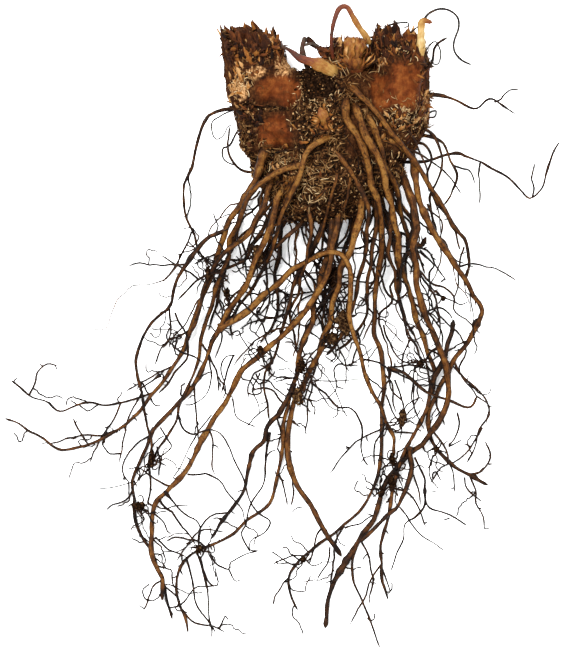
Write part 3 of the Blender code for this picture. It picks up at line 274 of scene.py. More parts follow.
# Each root: heights at its base, where it leaves the crown and at its tip, radii at the crown and at the
# tip, its route seen from above, and its branches. Each branch: the height of its tip, its radii, its
# route, and how far it humps up where it lies over other roots.
ROOTS = [
    ((16, 25, 4), (1.35, 0.60),
     [(6, 22), (8, 18.5), (10.5, 15.5), (13, 12), (16, 8.5), (18.5, 5), (21.5, 2.5), (24.5, -0.5),
      (27.5, -5), (30, -10), (33, -14.5), (36, -19), (39.5, -25), (42.3, -30), (43, -34),
      (42.5, -38.5)], []),
    ((14, 24, 1.5), (1.40, 0.45),
     [(6.5, 19), (7.2, 15), (8.3, 10), (10.5, 4.5), (12.3, -1), (13.6, -6), (14.8, -12), (16.3, -18),
      (17.6, -25), (17.6, -31), (16.2, -37), (15, -43), (14.6, -49), (15, -55), (17.2, -60.5),
      (17.7, -68), (17.6, -76), (17.4, -84), (16.9, -91), (15.6, -98), (13.2, -104), (9.5, -109.5),
      (5.5, -113.5), (0.5, -116.5), (-5, -121), (-9, -125.5), (-11.3, -130), (-10.8, -134.5),
      (-8.2, -138.2)], []),
    ((14, 25, 7), (1.30, 0.80),
     [(9.5, 14), (12, 9), (14.5, 4), (16.8, -2), (19, -7.5), (21, -13), (22.3, -19), (24, -25),
      (26.2, -28.3), (28.8, -29.2), (31, -28), (30.3, -26.2)], []),
    ((14, 24.5, 2), (1.45, 0.50),
     [(8.8, 17), (10.3, 11.5), (12.6, 5.5), (14.6, 0), (16.6, -5), (18.2, -10.5), (19.4, -16),
      (20.3, -22), (21.6, -29), (23.2, -36), (25.2, -43), (27.3, -49.5), (29.4, -55.5), (31.6, -61.5),
      (32.7, -67), (32, -73), (30, -79), (27.2, -85), (24, -91), (21.4, -97), (20.2, -103),
      (19.6, -109), (18.2, -115), (17, -121), (17, -127), (18, -131.5), (19, -135.2)],
     [(4, (1.1, 1.0), [(31.8, -73.5), (33.2, -69), (35.3, -64.5), (37, -59.5), (38, -54.5),
                       (38.7, -51)])]),
    ((10, 20, 2), (1.25, 0.90),
     [(20, -1), (22, -6), (24.3, -11), (26, -16), (26.3, -22), (26.8, -29), (27.3, -36), (28.2, -43),
      (30.2, -50), (33, -56.5), (35.8, -62.5), (37, -68.5), (37.4, -74.5), (36, -80), (32.5, -85),
      (28, -89), (24, -93), (20.5, -97), (17.5, -102.5), (15.8, -107.5), (13.5, -112.5), (10.2, -118),
      (6.3, -123.3), (3.6, -128.8), (1.9, -134.5), (0.6, -139.5), (0.1, -143.6)],
     [(2, (0.5, 0.35), [(9.6, -118.8), (8.7, -124), (9, -129), (10.5, -134), (12.6, -140), (14.6, -145),
                        (16.5, -149.5)])]),
    ((10, 19, 1.5), (1.30, 0.70),
     [(25, 3), (26.5, -3), (27.5, -9), (29, -15), (31.3, -21.5), (34.6, -28), (38.4, -34), (42, -39.3),
      (44.8, -43.7), (46.4, -48.3), (45.6, -52.3), (42.9, -57), (40, -61), (37.6, -64.2), (35, -69),
      (33, -75), (31, -80.5), (32, -86), (34.6, -90.6), (38, -94.3), (42.3, -97.2), (46, -99.5),
      (49, -100.6)],
     [(1.5, (0.42, 0.34), [(38.6, -63), (40.5, -67), (44, -71), (47.5, -74.5), (50.2, -78.3),
                           (48.8, -81.8), (46.2, -85), (45, -90), (42.7, -94)]),
      (1.5, (0.42, 0.34), [(43, -97.6), (47.5, -96.5), (50, -93.5), (50, -90.5), (48.2, -87.5)])]),
    ((10, 18, 2), (1.40, 0.90),
     [(10, -6), (11, -13), (10.6, -19), (9, -25.5), (6.8, -32), (4.6, -38), (3.2, -44), (1.8, -50),
      (0.2, -55.5), (-2.2, -61), (-5, -66.5), (-7.6, -71.5), (-9.6, -77), (-10.9, -83), (-11, -89.5),
      (-10.3, -95.5), (-8, -101.5), (-4.6, -106.5), (-1.8, -111), (0.8, -115.8), (3.2, -119.6),
      (5, -122)], []),
    ((9, 15, 1.5), (1.30, 0.45),
     [(3, -10), (2.2, -17), (2, -24), (0.8, -31), (-1.2, -37.5), (-2.6, -44), (-3.6, -50),
      (-5.5, -55.5), (-7.2, -61), (-8, -66.5), (-9.5, -72), (-12.2, -77.5), (-12.8, -84), (-13.1, -91),
      (-14.2, -98), (-15.8, -104.5), (-17.5, -107.5), (-21, -110), (-25, -112.8), (-29.5, -115.8),
      (-34, -118.3), (-38.3, -120.6), (-41.8, -122.6), (-44, -126), (-44.6, -131), (-43.6, -136.4),
      (-41.8, -141), (-41.2, -145.2)],
     [(2, (1.0, 0.6), [(-8.9, -70), (-11.4, -76), (-16, -82), (-17.5, -87.5), (-21.9, -91.5),
                       (-22.8, -95.5), (-23.8, -100), (-26.5, -105), (-29.5, -109.5), (-32, -113.5),
                       (-34.4, -117)])]),
    ((9, 17, 1.5), (1.25, 0.80),
     [(5, -9), (4.6, -15), (3.8, -21.5), (2.6, -28), (1, -34.5), (-1.6, -41), (-5, -47), (-9, -52),
      (-13.5, -56.3), (-18, -60.2), (-22, -64.2), (-26, -68.6), (-29.4, -73.5), (-32.3, -79),
      (-36, -84.5), (-38.2, -90), (-40.6, -94.6), (-43, -98.5), (-47.6, -102), (-50.2, -104.4),
      (-51.9, -108.5), (-51.5, -113), (-51.8, -118), (-50.8, -123), (-49.4, -128), (-48.6, -132.5),
      (-48.7, -135.2)], []),
    ((8, 13, 2), (1.15, 0.40),
     [(1, -12), (0, -19), (-2, -26), (-5, -32), (-8, -37.5), (-9.5, -42.5), (-11, -47.5),
      (-12.4, -52.5), (-13.8, -57.5), (-15.5, -62), (-17.5, -66.5), (-18.3, -71), (-17.6, -76),
      (-16.8, -81)], []),
    ((12, 25, 1.5), (1.35, 0.50),
     [(-12, -8), (-14.5, -17), (-17, -24), (-20, -30.5), (-22.3, -36.5), (-25.3, -42), (-28.4, -47),
      (-31, -51.6), (-33, -56), (-35.5, -61.5), (-38, -67), (-41, -72.5), (-45.6, -78), (-50.3, -82.6),
      (-53.6, -88), (-56, -93.5), (-57.6, -99), (-58, -105), (-57.2, -111), (-54.8, -116.8),
      (-52, -121.8), (-49.8, -127), (-48.2, -132), (-47, -137), (-46, -141)],
     [(3, (1.05, 0.6), [(-31.8, -53.4), (-28, -51.2), (-23, -47.6), (-18, -43.6), (-13, -39.5),
                        (-8.3, -35.4), (-4, -32.2), (-0.5, -30.5), (3.4, -30.6), (6.3, -33),
                        (7.6, -37.5), (8.4, -42.4), (7.4, -47.3), (7.8, -52), (9.6, -58.4), (12, -67),
                        (14.4, -73), (17.8, -80.6), (20.1, -86.5), (20.8, -92)], 10)]),
    ((12, 25, 1.5), (1.50, 0.40),
     [(-16, 4), (-18, -2), (-20, -8), (-22.8, -12.6), (-25.8, -17), (-28.3, -21.5), (-30.2, -26.5),
      (-31.5, -32), (-33.5, -37.5), (-36, -43), (-38, -48.5), (-40, -54), (-42.4, -59), (-45.4, -64),
      (-49, -69.3), (-53, -74.2), (-57, -78.8), (-61, -83), (-65.5, -86.5), (-71, -89), (-76, -90),
      (-81.5, -89.3), (-85.3, -87), (-88.5, -84.3), (-92, -82.4), (-96.3, -80.6)],
     [(1.5, (0.5, 0.34), [(-52, -73), (-56, -74.2), (-61, -76.2), (-67, -77), (-71.5, -76),
                          (-76, -77.3), (-81, -78.3), (-83, -76.3), (-86, -74.5), (-89, -74),
                          (-90.6, -71.2), (-93.6, -71.6), (-94.5, -69.2)]),
      (2, (0.85, 0.4), [(-29.2, -24), (-34, -26), (-38.3, -29), (-41.4, -33.3), (-43.8, -38.5),
                        (-45.4, -43.3), (-46.4, -47), (-49, -49.6), (-52.3, -54), (-55, -59),
                        (-56.9, -64), (-56, -68.5), (-54.7, -73), (-54.2, -78), (-52.8, -83),
                        (-51.9, -88), (-51.8, -93), (-52.3, -98), (-53, -103), (-53.4, -106.5)]),
      (2, (0.4, 0.34), [(-71, -88.8), (-73, -86.5), (-75, -82.5), (-75.8, -80.5)])]),
    ((11, 24, 1.5), (1.20, 0.40),
     [(-15, -5), (-18.6, -16), (-21.5, -23.5), (-26, -27.5), (-30.5, -30.8), (-33, -35), (-35.3, -40),
      (-37, -45), (-38.2, -50), (-40, -54.5), (-41, -58), (-41.8, -62), (-44, -66), (-47, -70),
      (-50, -73)], []),
    ((8, 11, 3), (1.00, 0.40),
     [(-11, -10), (-17.4, -21.5), (-21, -28), (-24, -32.6), (-29, -34.6), (-34, -36.8), (-38, -38.6),
      (-41.8, -41.6), (-44.2, -45)], []),
    ((18, 25, 2), (1.30, 0.45),
     [(-1, -5), (-5.5, -4.8), (-10, -5.2), (-14.5, -7), (-18.5, -9.3), (-22, -13), (-24.5, -17.5),
      (-26.3, -22), (-28.2, -27), (-30, -32.5), (-31.5, -38), (-33, -43), (-34.8, -48), (-36.2, -53),
      (-36.8, -58), (-37.6, -63.5), (-40.5, -70), (-43.4, -76), (-45, -81), (-48.4, -85.6),
      (-50.8, -89), (-52, -94)], []),
    ((19, 25, 3), (1.20, 0.55),
     [(4.5, 4), (1, 3), (-2.8, 1.6), (-5.4, -1), (-6.8, -5), (-8.4, -9.5), (-10.4, -14), (-12, -18),
      (-13.5, -23), (-15.5, -29), (-17.5, -34), (-20.5, -39), (-24, -44), (-27.3, -48.3),
      (-29.6, -52)], []),
    ((9, 14, 3), (0.95, 0.45),
     [(-2, -14), (-4.5, -19), (-8, -23.2), (-12, -26.4), (-15.6, -29.2), (-19.4, -32.6), (-22.6, -37),
      (-25.5, -41), (-29, -45.5)], []),
    ((16, 19, 3), (0.95, 0.40),
     [(-5, -8), (-5.8, -13), (-4.8, -18.5), (-4.2, -24), (-4.6, -29), (-6, -33.5), (-7.2, -38.5),
      (-8.6, -43.5), (-10.4, -50), (-9, -56), (-8.4, -61)], []),
    ((20, 24, 3), (1.10, 0.60),
     [(-1, 1), (2.6, -1.4), (6, -4.6), (8.6, -9), (11, -13.5), (12.6, -19), (12.9, -25), (12.3, -31),
      (10.6, -36.5), (9.8, -42), (8, -47.5), (6, -52), (5, -56), (2.5, -60), (0.5, -61.5)], []),
    ((10, 14, 2), (1.00, 0.50),
     [(14, -8), (15, -15), (15.6, -21), (14.6, -27), (13.6, -33), (12.8, -39), (13, -46), (12, -52),
      (8, -57), (3, -60.5)], []),
    ((9, 15, 2), (1.10, 0.40),
     [(18, -6), (19.8, -12), (20.2, -18), (19.4, -24), (18.6, -30), (19.6, -36), (21.4, -42),
      (22.8, -47), (23.8, -51.5), (25.6, -56), (27.4, -58.8), (28.6, -62.5)], []),
    ((9, 12, 5), (0.60, 0.38),
     [(25, 4.5), (31, 4), (34.6, 1.6), (37.4, -2), (38.8, -5.8), (40.2, -8.6), (39.2, -12), (38, -15),
      (35.6, -16.6)], []),
    ((8, 10, 6), (0.58, 0.38),
     [(24, 2), (29.4, 1.8), (31.6, -0.8), (32, -3.8), (31, -6.8), (30.4, -9.5), (31.3, -12.5)], []),
    ((12, 15, 5), (0.62, 0.38),
     [(25, 7.5), (31.5, 6.3), (33.8, 2.8), (35, -1.6), (35, -6), (34, -9.6), (32.2, -12.4), (31, -16),
      (32.4, -20.5), (33.6, -24)], []),
    ((7, 8, 2), (0.60, 0.36),
     [(21, -4), (27, -3.2), (31, -3.4), (35, -2.2), (39, -0.3), (43.2, -1.6), (48, -5), (53.4, -7.8),
      (56.4, -10.4), (58.8, -12.6), (60.8, -15), (62.6, -14), (65, -12), (66.6, -9), (66.8, -5),
      (68, -1.6), (70, 1), (70.7, 2.8)], []),
    ((12, 13, 3), (0.65, 0.36),
     [(26, 15), (31, 16.3), (36, 16.5), (40.3, 15), (43.6, 13.2), (46.5, 12.5), (48.2, 14), (51, 16),
      (52.2, 14.5), (54.6, 12.7), (57.2, 11)], []),
    ((12, 13, 3), (0.80, 0.38),
     [(-24, 11.6), (-29, 12.2), (-32.6, 10.8), (-35.8, 8), (-37.9, 4), (-39.3, -1.5), (-41, -7),
      (-42.1, -12.5), (-42.2, -17.5), (-41, -22), (-39.6, -26), (-38, -29.8), (-35, -33.4),
      (-31.4, -37), (-28.6, -40)], []),
    ((8, 9, 6), (0.55, 0.36),
     [(-20, -7), (-25.5, -5.5), (-28, -2.5), (-29.4, 0.6), (-29.2, 4), (-28.6, 7)], []),
    ((12, 14, 14), (0.55, 0.45), [(27, 23), (31.2, 26), (31.6, 29.6), (33.2, 31.8), (36.6, 33.6)], []),
    ((5, 3, 1.2), (1.10, 0.45),
     [(-9, -11), (-12, -17), (-13, -24), (-14, -31), (-15, -38), (-14.5, -45), (-16, -52),
      (-19.5, -58)], []),
    ((5, 3, 1.2), (1.15, 0.45),
     [(7, -12), (8, -18), (7.5, -25), (5, -32), (3, -39), (0.5, -45), (-3, -51), (-6, -57)], []),
    ((5, 3, 1.2), (1.10, 0.45),
     [(14, -8), (17, -15), (18.5, -22), (20.5, -29), (22, -36), (22, -43), (24, -50), (27, -56)], []),
    ((5, 3, 1.2), (1.05, 0.45),
     [(-17, -6), (-21.5, -12), (-25, -19), (-27, -26), (-29, -33), (-30.5, -40), (-33, -47),
      (-35, -54)], []),
    ((6, 9, 2), (0.95, 0.45),
     [(-8, -12), (-10.5, -18), (-13.5, -24), (-17.5, -29.5), (-21, -34.5), (-24, -40.5), (-27.5, -46),
      (-29.5, -52)], []),
    ((7, 10, 2), (0.75, 0.40),
     [(-11, -12), (-14, -20), (-16.6, -27), (-18, -33), (-17.5, -39), (-18.5, -45), (-20.8, -50)], []),
    ((6, 8, 2), (0.80, 0.40),
     [(16, -9), (20.5, -16), (24, -23), (25, -30), (24.6, -37), (26, -44), (28.8, -50)], []),
]

# Each shoot: its route as x, y, z and radius, and its branches
SHOOTS = {
    "shoot_folded": (
        [(3, 24, 14, 0.7), (2.2, 29, 17.5, 0.45), (1.8, 33, 19, 0.5), (2.6, 38, 20, 0.8),
         (4.4, 42, 20, 0.8), (5.5, 43.4, 20, 0.75), (7.4, 41, 20, 0.8), (10, 37, 19.5, 0.9),
         (12.2, 34, 18.5, 0.95), (13.4, 31.5, 17, 0.6)], []),
    "shoot_pale": (
        [(26.5, 24, 14, 1.0), (28.3, 29, 16, 1.25), (28.6, 33.5, 17, 1.2), (28.9, 37.5, 17.3, 1.15),
         (30.2, 39.3, 17.4, 1.0), (32, 38, 17.4, 0.55)],
        [[(29.0, 37.6, 17.3, 0.5), (30.6, 40.4, 17.6, 0.45), (33, 42, 17.6, 0.4), (36.4, 42, 17, 0.38),
          (39, 40.3, 16.5, 0.36), (40, 38, 16, 0.36), (39.4, 34.5, 15, 0.36), (38.4, 31, 14, 0.36),
          (40, 28, 13, 0.34), (42.2, 25.8, 12, 0.34), (43.8, 25.5, 12, 0.33)]]),
    "bud_red_tip": (
        [(4.5, 22, 15, 1.2), (2, 23.6, 20.5, 1.9), (-1, 25, 22, 2.1), (-4, 26.2, 22, 1.7),
         (-7, 27.2, 22, 1.4), (-9.5, 28.8, 21.8, 0.8), (-13, 30.8, 23.2, 0.45)], []),
    "bud_sheath": (
        [(8.2, 23.5, 16, 2.4), (8.6, 27, 18.6, 3.6), (9, 30.2, 19.2, 3.9),
         (9.6, 33.3, 18.6, 2.0)], []),
    "bud_front": (
        [(0.5, 6, 19, 1.6), (0, 8.4, 24.4, 2.3), (-0.8, 10.6, 25.6, 1.6),
         (-1.6, 12.4, 25.4, 0.5)], []),
    "stalk_stub": (
        [(-5, 24, 14, 0.8), (-6.4, 28, 16, 0.8), (-6.8, 31, 16.5, 0.75), (-6, 33.8, 16.6, 0.65)],
        [[(-6.7, 31.2, 16.5, 0.45), (-4.6, 31.6, 16.7, 0.4), (-2.6, 31.2, 16.6, 0.6),
          (-1.2, 29.4, 15.6, 0.9)]]),
}


# How golden each main root is where it leaves the crown, in the order of ROOTS, and how much of that it keeps
# at its tip: 1 is golden ochre and 0 is near black
ROOT_TONES = [
    (0.88, 0.35), (0.90, 0.30), (0.84, 0.6), (0.92, 0.45), (0.62, 0.6), (0.74, 0.60), (0.78, 0.65), (0.60, 0.55),
    (0.52, 1.55), (0.44, 0.5), (0.80, 0.15), (0.66, 0.70), (0.62, 0.25), (0.46, 0.4), (0.88, 0.25), (0.92, 0.40),
    (0.56, 0.4), (0.62, 0.5), (0.62, 0.5), (0.42, 0.5), (0.50, 0.5), (0.30, 0.8), (0.26, 0.8), (0.30, 0.8),
    (0.24, 0.6), (0.36, 0.5), (0.22, 0.8), (0.30, 0.8), (0.10, 0.9), (0.30, 0.5), (0.32, 0.5), (0.30, 0.5),
    (0.26, 0.5), (0.46, 0.5), (0.40, 0.5), (0.32, 0.5),
]

# How a root turns at its nodes: the distance between them, and how far it is put aside at each as a share
# of its sway
KINK_STEP = 5.5 * MM
KINK_SHARE = 0.85

# Where the roots are thickened to knots, seen from above, in mm
KNOTS = np.array([
    (-37.8, -89.9), (-43.6, -98.8), (-22.0, -92.0), (-22.0, -95.1), (-16.7, -107.0), (-82.5, -77.3),
    (-74.0, -90.4), (-30.1, -111.2), (44.8, -98.4), (37.8, -92.9), (5.0, -126.8), (6.3, -123.4),
    (17.1, -121.8), (30.5, -102.3), (37.3, -88.8), (25.0, -89.0), (-45.7, -47.0), (-49.5, -67.7),
    (17.4, -60.8), (26.0, -22.0), (45.6, -52.3), (-31.8, -53.4), (-47.5, -103.5), (-50.8, -119.0),
])

# The branch that arches over the others, and how far it is lifted clear of them
ARCH = ("root_11", 1)
ARCH_LIFT = 6.0 * MM
ARCH_SWELL = 1.15

# Thin roots that lie on the crown's face and hang from it: diameter, tone, height of the far end, and the route
LAID_ROOTS = [
    (0.9, 0.70, 22, [(-10.2, 7.8), (-8.3, 5.5), (-6.0, 2.8)]),
    (0.45, 0.30, 22, [(-6.9, 1.8), (-2.4, 4.1), (4.1, 4.6), (11.4, 4.6)]),
    (0.4, 0.45, 20, [(-8.8, 17.4), (-8.1, 11.9), (-9.2, 8.3), (-12.5, 2.3)]),
    (0.45, 0.50, 20, [(-3.3, 15.6), (0.4, 15.2), (4.5, 14.5)]),
    (0.6, 0.45, 20, [(-14.8, -0.9), (-8.8, 0.0), (-4.7, 0.9)]),
    (0.9, 0.45, 5, [(13.7, 3.7), (18.3, 2.3), (25.2, 0.0), (29.3, -1.8), (33, -4.5), (37.5, -8.5), (41, -13)]),
    (0.5, 0.15, 18, [(5.5, 4.6), (7.7, 0.9), (9.6, -2.3), (10, -6)]),
    (1.2, 0.72, 6, [(3.6, -7.0), (2.6, -12.0), (0.6, -18.0), (-1.9, -26.0), (-5.5, -34.0), (-9, -41)]),
    (1.2, 0.66, 7, [(7.6, -8.0), (6.6, -14.0), (4.0, -21.0), (1.4, -29.0), (0.4, -36.0)]),
    (1.3, 0.80, 6, [(19, 3.0), (22.6, 0.6), (26.6, -3.4), (30.4, -9.6), (33.6, -15.6), (38, -22.0), (40.6, -30)]),
    (1.2, 0.62, 5, [(20.6, -6.0), (23.4, -10.0), (25.6, -15.4), (26.8, -21.0), (27.4, -28.0), (30.0, -37.0)]),
    (1.1, 0.62, 6, [(-6.4, -6.0), (-10.4, -10.6), (-15.4, -15.6), (-20.6, -21.6), (-26.4, -27.4), (-30, -34)]),
    (1.0, 0.55, 6, [(-16.2, -7.0), (-18.6, -12.6), (-19.4, -19.6), (-22.6, -27.0), (-24.6, -35.0)]),
    (1.1, 0.70, 8, [(-9.0, -7.6), (-11.4, -13.4), (-14.0, -18.6), (-17.6, -25.0), (-19, -32), (-23, -40)]),
    (0.9, 0.50, 8, [(-7.0, -13.0), (-5.2, -19.0), (-4.4, -25.0), (-5.4, -32.0), (-9, -38)]),
    (0.8, 0.35, 8, [(11.0, -3.0), (13.6, -8.6), (14.2, -15.0), (16.6, -22.0), (18, -31), (16.4, -38)]),
    (0.9, 0.58, 7, [(1.0, -10.6), (-2.6, -14.8), (-8.0, -18.4), (-13.4, -22.0), (-19.4, -26.4), (-26, -33)]),
    (0.7, 0.30, 9, [(24.6, 6.0), (27.8, 0.6), (30.6, -5.0), (31.6, -11.6), (34.6, -19), (34.8, -27)]),
]

# Fine threads among the roots, by the height that they lie at: the diameter at the base, then the route
# seen from above
THREADS = {
    18: [
        (0.9, [(12, 24.6), (15, 26.5), (18, 27.5), (22, 27.7), (27, 26.2), (30.5, 25.5)]),
        (0.5, [(18.8, 37.1), (21.8, 37.9), (24.8, 37.9), (24.8, 36.8), (23.3, 36.4)]),
        (0.5, [(25.5, 34.9), (27.8, 36.8)]),
        (0.4, [(31, 31), (33, 32.3), (34.5, 29), (33.8, 25.5), (31.5, 25.9)]),
    ],
    12: [
        (0.5, [(29.3, 7.5), (31.5, 12), (33.8, 12), (33, 9.8), (30.8, 9.8)]),
        (0.4, [(-27, 12), (-33, 9.8), (-34.5, 7.5), (-33.8, 4.1), (-32.3, 3), (-30.4, 4.5), (-29.3, 6.8),
               (-27.8, 7.5)]),
        (0.5, [(-26, 6), (-28.6, 2), (-31, 0.6), (-30.2, -3), (-26, -5)]),
        (0.7, [(24, -31), (23, -37), (22.5, -43)]),
        (0.6, [(16, -36), (19, -43), (23, -47), (25, -55), (27, -58), (28.5, -63)]),
        (0.5, [(-15, -30), (-10.5, -34.5), (-7.5, -36)]),
        (0.5, [(-25.5, -45), (-22.5, -48), (-19.5, -49.5), (-15.8, -45)]),
        (0.5, [(-18.4, -39), (-16.5, -43.5), (-18, -49.5), (-21, -55.5)]),
    ],
    8: [
        (0.5, [(28.5, -30), (30, -31.5), (33, -34.5), (31.5, -36.8), (31.9, -40.5), (34.5, -42.8), (37.5, -45),
               (40.5, -46.5), (43.1, -45.4)]),
        (0.5, [(30.4, -48.8), (31.5, -48), (34.5, -47.3), (37.5, -49.5), (38.3, -51)]),
        (0.4, [(33.8, -48), (34.5, -50.3), (34.5, -53.3), (33.8, -57), (31.5, -59.3)]),
        (0.4, [(43.5, -43.5), (44.3, -48), (44.6, -52.5)]),
        (0.5, [(17.6, -52.5), (18.8, -58.5), (22.5, -63), (27, -63.8), (28.5, -63)]),
        (0.4, [(27, -64.5), (26.6, -72), (27, -79.5)]),
        (0.5, [(19.1, -66), (19.5, -72), (23.3, -76.5), (21.8, -79.5)]),
        (0.4, [(-3, -69.8), (0.8, -76.5), (6.8, -78.8)]),
        (0.4, [(-4.5, -69), (0.8, -69.8), (6.8, -69), (11.3, -69)]),
        (0.4, [(7.5, -64.5), (9.8, -63), (14.3, -59.3)]),
        (0.5, [(-45, -48.8), (-43.5, -53.3), (-41.3, -57), (-42, -60.8)]),
        (0.5, [(-44.3, -57), (-45, -59.3), (-42.8, -60.8), (-39, -62.3), (-36.8, -63.8)]),
        (0.4, [(-27, -61.5), (-30, -62.3), (-31.5, -66), (-30, -72), (-30.8, -75)]),
        (0.4, [(-19.5, -66.8), (-21, -72), (-19.5, -79.5)]),
        (0.4, [(-28.5, -55.5), (-25.5, -54), (-22.5, -59.3), (-19.5, -63.8)]),
        (0.4, [(-13.5, -56.3), (-10.5, -52.5), (-7.5, -48.8), (-3, -46.5)]),
        (0.6, [(-49.5, -67.5), (-56, -72)]),
        (0.5, [(-34.9, -61.5), (-34.5, -67.5), (-36, -72.8), (-39.8, -76.1), (-42.4, -76.5)]),
        (0.4, [(-19.5, -60), (-18, -64.5), (-15, -67.5), (-9, -68.3)]),
    ],
    4: [
        (0.9, [(18.8, -65.3), (23.3, -66.8), (27, -69.8), (31.5, -73.5), (37.5, -75), (43.5, -76.9),
               (45.8, -73.9)]),
        (1.3, [(25.5, -89.3), (25.5, -99), (23.6, -105), (21.8, -108), (19.5, -109.5), (13.5, -114.8),
               (10.5, -117.8)]),
        (0.6, [(27, -92.3), (30, -98.3), (30, -102), (31.1, -106.5), (35.3, -108.8), (39.8, -111),
               (42.8, -112.9)]),
        (0.4, [(37.5, -110.6), (34.9, -111.4)]),
        (0.6, [(30, -102), (29.6, -106.5), (27, -110.3), (24, -112.5), (23.3, -117), (21.8, -120.8),
               (19.9, -126.4)]),
        (0.5, [(22.5, -107.3), (25.5, -111), (29.3, -116.3), (36, -120.4)]),
        (0.4, [(32.6, -91.5), (31.5, -95.3), (31.9, -99), (34.1, -102), (31.5, -102.8)]),
        (0.5, [(39.8, -78.8), (40.5, -82.5), (39, -87), (37.1, -88.9), (41.3, -87)]),
        (0.5, [(42, -98.3), (42.8, -101.3), (47.3, -105.8)]),
        (0.5, [(6, -113.6), (10.5, -111.4), (14.3, -109.9)]),
        (0.5, [(-6.4, -121.9), (-10.5, -121.9), (-15.8, -124.5)]),
        (0.4, [(-15.8, -120.8), (-11.3, -123.4), (-7.5, -126)]),
        (0.5, [(1.5, -119.3), (0.8, -123), (-2.3, -129)]),
        (0.4, [(3.4, -129), (0, -130.1)]),
        (0.5, [(17.3, -126), (19.5, -132), (19.1, -133.5)]),
        (0.6, [(-4.1, -69.8), (-0.8, -72.8), (3.8, -76.5), (7.5, -77.3), (9.8, -80.3), (11.3, -84),
               (10.5, -89.3), (11.6, -93), (13.1, -94.9)]),
        (0.4, [(3.8, -76.5), (3.8, -79.5), (1.9, -80.6)]),
        (0.5, [(21, -69), (23.6, -75.8), (23.3, -79.5)]),
        (0.5, [(18.4, -73.5), (21, -80.3), (22.5, -84), (22.5, -87.8)]),
        (0.4, [(26.6, -69), (26.6, -73.5), (28.5, -81), (30, -84)]),
        (0.4, [(-9.8, -108.8), (-8.3, -107.4), (-6.4, -107.4)]),
        (0.5, [(-27.4, -61.5), (-30, -66.8), (-31.1, -73.1)]),
        (0.4, [(-27.8, -74.6), (-26.6, -79.5), (-23.6, -81.8), (-20.6, -83.3)]),
        (0.4, [(-18, -93), (-16.5, -90.8), (-14.3, -90)]),
        (0.5, [(-49.5, -83.3), (-47.3, -87), (-46.1, -89.3), (-49.5, -92.3)]),
    ],
    3: [
        (0.6, [(-16.5, -84.8), (-17.6, -90.8), (-18.4, -99), (-22.5, -105.8), (-23.6, -112.5), (-24.8, -115.5),
               (-22.5, -120.8)]),
        (0.5, [(-44.3, -78.8), (-42.8, -83.3), (-39.4, -85.5), (-35.3, -84), (-31.5, -84.8), (-28.5, -88.5),
               (-27, -93.8), (-24.4, -99), (-22.5, -105), (-19.5, -108.8), (-16.5, -111), (-16.5, -112.9),
               (-18.4, -115.1), (-21.8, -117), (-22.5, -120), (-19.9, -120.4)]),
        (0.5, [(-41.3, -97.5), (-35.3, -97.9), (-30.8, -99), (-29.3, -102), (-27.4, -105.4), (-25.5, -108.8),
               (-23.6, -112.5)]),
        (0.4, [(-34.1, -79.5), (-37.5, -84), (-39.8, -88.5), (-42.8, -93.8), (-45.8, -98.6)]),
        (0.6, [(-49.9, -105), (-46.5, -109.5), (-42, -114), (-39, -118.5)]),
        (0.5, [(-48.4, -102.4), (-43.5, -108), (-39, -111), (-37.9, -114), (-37.9, -118.5)]),
        (0.5, [(-51.8, -108.8), (-48.8, -111.8), (-47.3, -114.8), (-45.8, -115.1)]),
        (0.5, [(-51, -116.3), (-48, -119.3), (-45, -120.8), (-41.6, -122.3)]),
        (0.5, [(-37.9, -120.8), (-37.5, -115.5), (-35.3, -114.4), (-30, -114.8)]),
        (0.6, [(-38.3, -121.5), (-36.8, -126), (-36, -131.3), (-34.9, -138.8), (-33.8, -143.3),
               (-34.1, -146.6)]),
        (0.6, [(-41.6, -123), (-39.8, -128.3), (-39, -135.8), (-35.3, -141), (-33, -144.8)]),
        (0.5, [(-34.5, -121.5), (-32.3, -124.5), (-28.9, -126), (-28.5, -123.8), (-25.5, -122.3),
               (-19.9, -120.4)]),
        (0.4, [(-28.9, -126), (-27, -129.4), (-25.1, -129)]),
        (0.5, [(-37.5, -122.3), (-35.3, -129), (-32.6, -130.5), (-33, -125.3)]),
        (0.5, [(-46.5, -137.6), (-43.5, -136.5), (-39, -132), (-33, -130.9)]),
        (0.5, [(-48, -131.3), (-45, -133.5), (-43.5, -135.8)]),
        (0.3, [(-58.1, -99.8), (-63.8, -101.3), (-69, -101.9), (-72.8, -101.9), (-72.8, -105)]),
    ],
}

# Clots of soil that cling among the roots: middle, size across and along, and share of brown
CLOTS = [
    ((5.5, -51, 12), (4.4, 6.6), 0.8), ((2.0, -56.5, 11), (3.8, 4.0), 0.7), ((-20, -32, 13), (3.0, 5.4), 0.8),
    ((-52, -93, 3.5), (2.2, 5.4), 0.2), ((2.6, -38, 12), (3.6, 7.6), 0.0), ((-7, -64.5, 8), (2.8, 5.0), 0.3),
    ((20.2, -93, 4), (2.2, 4.2), 0.3), ((17, -103, 4), (2.4, 2.4), 0.3), ((35.5, -44.5, 8), (1.4, 1.6), 0.2),
    ((28.5, -64, 8), (2.2, 1.4), 0.2), ((23.3, -80, 6), (2.6, 5.0), 0.7), ((-56, -107, 3), (4.8, 2.4), 0.3),
    ((-8.0, -74, 8), (3.4, 6.4), 0.9), ((-35, -37, 12), (2.0, 4.4), 0.3), ((-37.8, -120, 3), (2.6, 2.8), 0.7),
    ((20, -100, 4), (1.8, 4.0), 0.3), ((33.6, -90, 3), (1.4, 1.4), 0.3), ((-6.5, -123, 3), (1.6, 1.6), 0.5),
    ((-19.5, -60, 9), (2.0, 2.4), 0.3), ((-29.5, -43, 10), (2.0, 3.0), 0.2),
]

